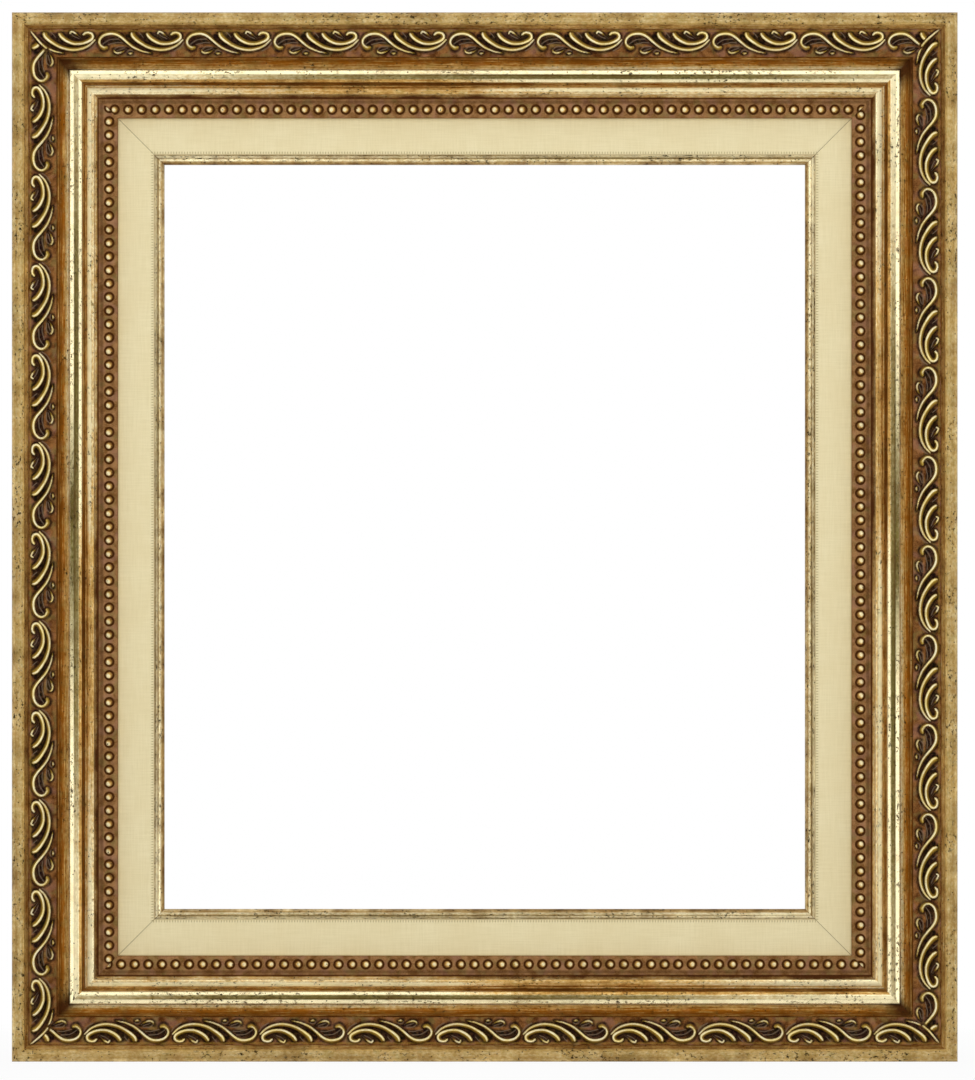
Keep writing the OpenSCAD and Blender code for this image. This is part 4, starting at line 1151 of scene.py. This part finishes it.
edge_bands = [
    band(line((PICTURE_S, PICTURE_T), (SIGHT_S, PICTURE_T), 2), 0.4, 0.9, 0, 1),
    band(line((SIGHT_S, PICTURE_T), (SIGHT_S, NOSE_T), 4), 0.4, (0.9, 0.5), 0),
    band(arc(SIGHT_S - NOSE_R, NOSE_T, NOSE_R, 0, 80, 10), (0.6, 0.65), (0.4, 0.4), 0),
    band(arc(SIGHT_S - NOSE_R, NOSE_T, NOSE_R, 80, 118, 5)[1:], (0.5, 0.05), (0.2, 0), (-0.3, 0.2)),
    band(line((78.30, 16.74), (77.55, 16.34), 3), (0.1, 0.2), 0.02, 0.9),
    band([(77.45, 16.20), (77.15, 16.20)], 0.5, 0.3, 0),
    band(arc(76.55, 16.40, 0.55, -10, 190, 9), 0.42, 0.1, 0.2),
    band([(75.85, 15.95), (75.52, 15.95)], 0.45, 0.25, 0),
    band([(75.45, LINEN_FOOT_T), (PICTURE_S, LINEN_FOOT_T)], 0.5, 0.9, 0, 1),
]


def gilt_sight_edge(k):
    """Side k of the gilt sight edge: a round nose, a fine bead and a dark groove beside the linen.
    Small dents are pressed into the nose by noise."""
    s, t, amber, patina, polish, finish = joined(edge_bands)
    u = stations(k, s, 400)
    nose = (t > 14.5) & (s > 77.35) & (s < SIGHT_S - 0.02)
    dents = eased(0.62, 0.95, mottle(u + 83.0 * k, s * 1.5, 2.4, 41)) * 0.22
    rubbed = (mottle(u + 29.0 * k, s, 5.0, 42) - 0.5) * 0.45 * (patina < 0.6)
    more_amber, more_patina, olive = worn_along(EDGE_WEAR, u / LENGTHS[k], s) * (t > 14)
    mitre = 0.9 * eased(0.28, 0.0, from_mitre(k, u, s))
    shape = Shape()
    run(shape, k, u, s, t - dents * nose, finish,
        {"amber": amber + more_amber, "olive": np.clip(olive, 0, 1), "polish": polish,
         "patina": np.clip(patina + rubbed + more_patina + mitre, 0, 1)})
    shape.build(f"{SIDES[k]}_gilt_edge", "frame", "gilt_sight_edge", [gilt_edge, raw_slip],
                f"{SIDES[k]}_sight_edge")


# Hardware of the back

def tube(shape, path, radius, place, count=14):
    """A round wire along a closed flat path in (x, y, t): each row is a circle square to it."""
    ahead = np.roll(path, -1, axis=0) - np.roll(path, 1, axis=0)
    ahead /= np.linalg.norm(ahead, axis=1)[:, None]
    square = np.stack([-ahead[:, 1], ahead[:, 0], np.zeros(len(path))], axis=1)
    turn = np.linspace(0, 2 * np.pi, count, endpoint=False)[:, None, None]
    ring = path + radius * (np.cos(turn) * square + np.sin(turn) * np.array([0, 0, 1.0]))
    loop = np.concatenate([ring, ring[:1]])
    shape.close(place(loop), np.zeros((len(loop), len(path) + 1, 2)), ends=False)


def plate(shape, outline, low, high, bevel, place):
    """A flat plate from an outline about its own middle, with rounded edges: the outline, drawn in
    by the bevel at the top and bottom."""
    middle = (outline.max(0) + outline.min(0)) / 2
    half = (outline.max(0) - outline.min(0)) / 2
    rows = []
    for inset, share in ((1, 0), (0.3, 0.15), (0, 0.5), (0.3, 0.85), (1, 1), (3, 1)):
        shrunk = middle + (outline - middle) * (1 - inset * bevel / half)
        rows.append(np.column_stack([shrunk, np.full(len(outline), low + share * (high - low))]))
    shape.close_plainly(place, np.array(rows))


def screw_head(shape, x, y, base, top, radius, place, turned):
    """A pan head with a cross recess, as heights on rings about its axis: a low dome, less the
    recess where a place lies within either slot, over a round edge."""
    turn = np.linspace(0, 2 * np.pi, 72, endpoint=False) + turned
    share = np.concatenate([np.linspace(0.04, 0.82, 16), [0.90, 0.96, 1.0, 1.0, 0.97]])
    r = share[:, None] * radius
    dome = np.sqrt(np.clip(1 - (share * 0.86) ** 2, 0, 1))
    dome = (dome - dome[-3]) / (1 - dome[-3])
    drop = np.concatenate([np.zeros(18), [0.0, 0.6, 1.0]])
    level = top + (base - top) * np.where(drop > 0, drop, 0.45 * (1 - dome))
    near_x, near_y = abs(r * np.cos(turn - turned)), abs(r * np.sin(turn - turned))
    slot = np.minimum(np.maximum(near_x / 0.62, near_y / 0.14),
                      np.maximum(near_y / 0.62, near_x / 0.14)) / radius
    level = level[:, None] + (base - top) * 0.55 * eased(1.05, 0.85, slot)
    shape.close_plainly(place, np.stack([x + r * np.cos(turn), y + r * np.sin(turn), level], axis=-1))


def from_middle(grid):
    """Places given as (x, y, t) from the middle of the picture."""
    return on_back(grid[..., 0], grid[..., 1], grid[..., 2])


def from_side(k):
    """Places given as (x, s, t), where x runs along side k from its middle."""
    return lambda grid: on_side(k, LENGTHS[k] / 2 - grid[..., 0], grid[..., 1], grid[..., 2])


# The hangers, from the middle of the picture to the ring's bar, and along the strap from the bar
HANGER_X = WIDTH / 2 - REBATE_S / 2
HANGER_Y = 130.0
BAR_T = -2.2
STRAP_T = 0.9
STRAP_HALF_W = 5.5
STRAP_END_Y = -34.5
KNUCKLE_R = 1.53
KNUCKLE_HALF_W = 4.4
RING_BOW_R = 10.0
BEND_X = -8.7
BEND_R = 1.3
WIRE_R = 0.96


def hanger_strap(side, name):
    """A steel strap rolled round the ring's bar: a rounded rectangle carried along a path that runs
    flat up the wood and then round the bar. Its width follows the round end, and draws in
    at the knuckle."""
    end_y = STRAP_END_Y - STRAP_HALF_W * np.cos(np.radians(np.linspace(4, 90, 14)))
    flat_y = np.concatenate([end_y, np.linspace(-33, -2.4, 16)])
    roll = arc(0, BAR_T, KNUCKLE_R, 90, -165, 34)
    path_y = np.concatenate([flat_y, roll[:, 0]])
    path_t = np.concatenate([np.full(len(flat_y), -STRAP_T / 2), roll[:, 1]])
    ahead = np.stack([np.gradient(path_y), np.gradient(path_t)], axis=1)
    ahead /= np.linalg.norm(ahead, axis=1)[:, None]
    past = np.clip(STRAP_END_Y - path_y, 0, STRAP_HALF_W)
    half = np.sqrt(np.clip(STRAP_HALF_W ** 2 - past ** 2, 0.2, None))
    past_flat = np.arange(len(path_y)) - len(flat_y)
    half = np.minimum(half, np.interp(past_flat, [-4, 4], [STRAP_HALF_W, KNUCKLE_HALF_W]))
    thick = np.where(past_flat < 0, 0.43, 0.40)
    upper = np.array([(-1, -0.6), (-0.97, -0.9), (-0.9, -1), (0, -1), (0.9, -1), (0.97, -0.9),
                      (1, -0.6)])
    corner = np.concatenate([upper, -upper])
    x = side * HANGER_X + corner[:, 0] * half[:, None]
    off = corner[:, 1] * thick[:, None]
    y = HANGER_Y + path_y[:, None] - off * ahead[:, 1:2]
    t = path_t[:, None] + off * ahead[:, 0:1]
    shape = Shape()
    shape.close_plainly(from_middle, np.stack([x, y, t], axis=-1))
    shape.build(f"{name}_strap", "frame", "zinc_hardware", [zinc], f"{name}_hanger_strap")


def hanger_ring(side, name):
    """A D-ring of round wire: a straight bar, two bent corners and a half circle below it."""
    bar = np.stack([np.linspace(8.6, -8.6, 9), np.zeros(9)], axis=1)
    left_bend = arc(BEND_X, -BEND_R, BEND_R, 100, 175, 5)
    bow = arc(0, 0, RING_BOW_R, 188, 352, 25)
    flat = np.concatenate([bar, left_bend, bow, left_bend[::-1] * (-1, 1)])
    flat = flat + (side * HANGER_X, HANGER_Y)
    shape = Shape()
    tube(shape, np.column_stack([flat, np.full(len(flat), BAR_T)]), WIRE_R, from_middle)
    shape.build(f"{name}_ring_wire", f"{name}_ring", "zinc_hardware", [zinc],
                f"{name}_hanger_ring")


def strap_screws():
    """Two screws through each strap."""
    shape = Shape()
    for side in (-1, 1):
        for down, turned in ((14.45, 0.4), (32.3, 1.1)):
            screw_head(shape, side * HANGER_X, HANGER_Y - down, base=-STRAP_T,
                       top=-STRAP_T - 1.45, radius=3.1, place=from_middle, turned=turned + side)
    shape.build("strap_screws", "frame", "zinc_hardware", [zinc], "hanger_screws")


# The turn buttons: where their screws stand, their half width and the length between round ends
BUTTON_S = 66.0
BUTTON_HALF_W = 4.0
BUTTON_L = 10.5


def turn_button(k):
    """A stamped brass turn button: a bar with round ends and softened edges."""
    near = polar(BUTTON_HALF_W, np.linspace(90, 270, 24))
    outline = np.concatenate([near, (BUTTON_L, 0) - near]) + (0, BUTTON_S)
    shape = Shape()
    plate(shape, outline, low=2.12, high=3.42, bevel=0.35, place=from_side(k))
    shape.build(f"{SIDES[k]}_button_plate", f"{SIDES[k]}_button", "brass_hardware", [brass],
                f"{SIDES[k]}_turn_button")


def button_screws():
    """One screw through each button."""
    shape = Shape()
    for k in range(4):
        screw_head(shape, 0.0, BUTTON_S, base=2.04, top=1.0, radius=2.8, place=from_side(k),
                   turned=0.3 + 0.9 * k)
    shape.build("button_screws", "frame", "brass_hardware", [brass], "turn_button_screws")


def framer_points():
    """Flat steel points on the slip's back: a strip with a blunt tip, driven into the rebate's wall."""
    outline = np.array([(-2.6, 58.0), (0, 58.0), (2.6, 58.0), (3, 57.9), (3, 52), (3, 46.5),
                        (1.6, 44.4), (0, 43.95), (-1.6, 44.4), (-3, 46.5), (-3, 52), (-3, 57.9)])
    shape = Shape()
    for k in range(4):
        for share in (-0.25, 0.25):
            plate(shape, outline + (LENGTHS[k] * share, 0), low=2.62, high=3.48, bevel=0.18,
                  place=from_side(k))
    shape.build("framer_points", "frame", "bright_steel", [steel], "framers_points")


# How far the middle of a bumper lies from the frame's side and from its lower edge
BUMPER_IN = 12.0


def back_bumpers():
    """Round soft pads: a low dome with a rounded shoulder, turned about each pad's axis."""
    profile = np.array([(5.7, 0.05), (5.95, -0.2), (6.0, -0.6), (6.0, -2.6), (5.9, -3.3), (5.6, -3.9),
                        (5.0, -4.25), (3.8, -4.42), (2.0, -4.49), (0.4, -4.5)])
    radius, level = profile[:, 0:1], profile[:, 1:2]
    turn = np.linspace(0, 2 * np.pi, 48, endpoint=False)
    shape = Shape()
    for side in (-1, 1):
        x = side * (WIDTH / 2 - BUMPER_IN) + radius * np.cos(turn)
        y = BUMPER_IN - HEIGHT / 2 + radius * np.sin(turn)
        shape.close_plainly(from_middle, np.stack(np.broadcast_arrays(x, y, level), axis=-1))
    shape.build("back_bumpers", "frame", "felt_rubber", [bumper_rubber], "wall_bumpers", 50.0)


for side_number in range(4):
    for make_piece in (moulding, scrolls, pearls, slip_wood, linen_cover, gilt_sight_edge,
                       turn_button):
        make_piece(side_number)
for side_sign, side_name in ((-1, "left"), (1, "right")):
    hanger_strap(side_sign, side_name)
    hanger_ring(side_sign, side_name)
strap_screws()
button_screws()
framer_points()
back_bumpers()
for nail_node in ("frame_v_nails", "slip_v_nails"):
    nail_mesh = bpy.data.objects[nail_node].data
    nail_mesh.materials.clear()
    nail_mesh.materials.append(steel)


# The studio: a pale floor, a dark card round the camera, soft lamps and a white surround

CARD_LEVEL = 0.24
SURROUND_LEVEL = 0.42
FLOOR_WHITE = 0.93
CARD_HALF = 1.42
MIDDLE_Z = HEIGHT / 2 * MM
WHITE = (1.0, 1.0, 1.0, 1.0)


def seen_directly(tree):
    """One for rays straight from the camera or by way of a mirror or a glass, zero for others."""
    ray = tree.nodes.new("ShaderNodeLightPath").outputs
    seen = maths("MAXIMUM", Signal(ray["Is Camera Ray"]), Signal(ray["Is Glossy Ray"]))
    return maths("MAXIMUM", seen, Signal(ray["Is Transmission Ray"]))


def flat_card(name, x, y, z, finish):
    """A rectangle between two values on each axis; the axis with a single value is its normal."""
    corners = [(a, b, c) for a in x for b in y for c in z]
    mesh = bpy.data.meshes.new(name)
    mesh.from_pydata(corners, [], [[0, 1, 3, 2]])
    mesh.materials.append(finish)
    card = bpy.data.objects.new(name, mesh)
    bpy.context.scene.collection.objects.link(card)
    return card


def floor_material():
    """Pale floor that the camera sees almost white, with the object's shadow kept."""
    made = bpy.data.materials.new("studio_floor")
    tree, blend = surfaced(made, "ShaderNodeMixShader")
    lit = node(tree, "ShaderNodeBsdfDiffuse", {"Color": (0.9, 0.9, 0.9, 1.0)})
    white = node(tree, "ShaderNodeEmission", {"Color": WHITE, "Strength": 1.0})
    feed(blend, {0: seen_directly(tree) * FLOOR_WHITE, 1: Signal(lit.outputs[0]),
                 2: Signal(white.outputs[0])})
    return made


def card_material():
    """Dim even light, which the gilding mirrors."""
    made = bpy.data.materials.new("dark_card")
    _, glow = surfaced(made, "ShaderNodeEmission")
    feed(glow, {"Color": WHITE, "Strength": CARD_LEVEL})
    return made


def soft_lamp(name, place, power, size, mirrored=True):
    """A square lamp turned towards the middle of the frame, which may be kept out of reflections."""
    light = bpy.data.lights.new(name, "AREA")
    light.energy = power
    light.size = size
    lamp = bpy.data.objects.new(name, light)
    lamp.location = place
    aim = np.array([0, 0, MIDDLE_Z]) - np.array(place)
    aim /= np.linalg.norm(aim)
    lamp.rotation_euler = (np.arccos(-aim[2]), 0.0, np.arctan2(aim[0], -aim[1]) + np.pi)
    lamp.visible_glossy = mirrored
    bpy.context.scene.collection.objects.link(lamp)


floor = flat_card("studio_floor", (-2.6, 2.6), (-6.6, 1.35), (0.0,), floor_material())
floor.visible_glossy = False
card = flat_card("dark_card", (-CARD_HALF, CARD_HALF), (-1.35,),
                 (MIDDLE_Z - CARD_HALF, MIDDLE_Z + CARD_HALF), card_material())
card.visible_camera = False
card.visible_diffuse = False
card.visible_shadow = False
card.visible_transmission = False
soft_lamp("lamp_front", (0.0, -2.5, MIDDLE_Z + 0.2), power=36.0, size=1.6, mirrored=False)
soft_lamp("lamp_back", (0.3, 2.5, MIDDLE_Z + 0.5), power=34.0, size=1.6, mirrored=False)
soft_lamp("lamp_left", (-1.5, -1.3, MIDDLE_Z), power=2.5, size=1.2)
soft_lamp("lamp_right", (1.5, -1.3, MIDDLE_Z), power=2.5, size=1.2)
soft_lamp("lamp_top", (0.0, -1.3, MIDDLE_Z + 1.5), power=3.0, size=1.2)

scene = bpy.context.scene
scene.world = bpy.data.worlds.new("studio")
surround, sky = surfaced(scene.world, "ShaderNodeBackground", "ShaderNodeOutputWorld")
level = seen_directly(surround) * (1 - SURROUND_LEVEL) + SURROUND_LEVEL
feed(sky, {"Color": WHITE, "Strength": level})

# The camera looks straight at the front. The photograph is 975 by 1080 pixels.
PIXEL = 0.5303 * MM
VIEW_HEIGHT = 1080 * PIXEL
CAMERA_AWAY = 20.0
lens = bpy.data.cameras.new("camera")
lens.sensor_width = 36.0
lens.lens = 36.0 * CAMERA_AWAY / VIEW_HEIGHT
lens.clip_end = 100.0
camera = bpy.data.objects.new("camera", lens)
camera.location = (1.46 * MM, (BACK_Y - DEPTH) * MM - CAMERA_AWAY, (HEIGHT / 2 - 1.59) * MM)
camera.rotation_euler = (np.pi / 2, 0.0, 0.0)
scene.collection.objects.link(camera)
scene.camera = camera

scene.view_settings.view_transform = "Standard"
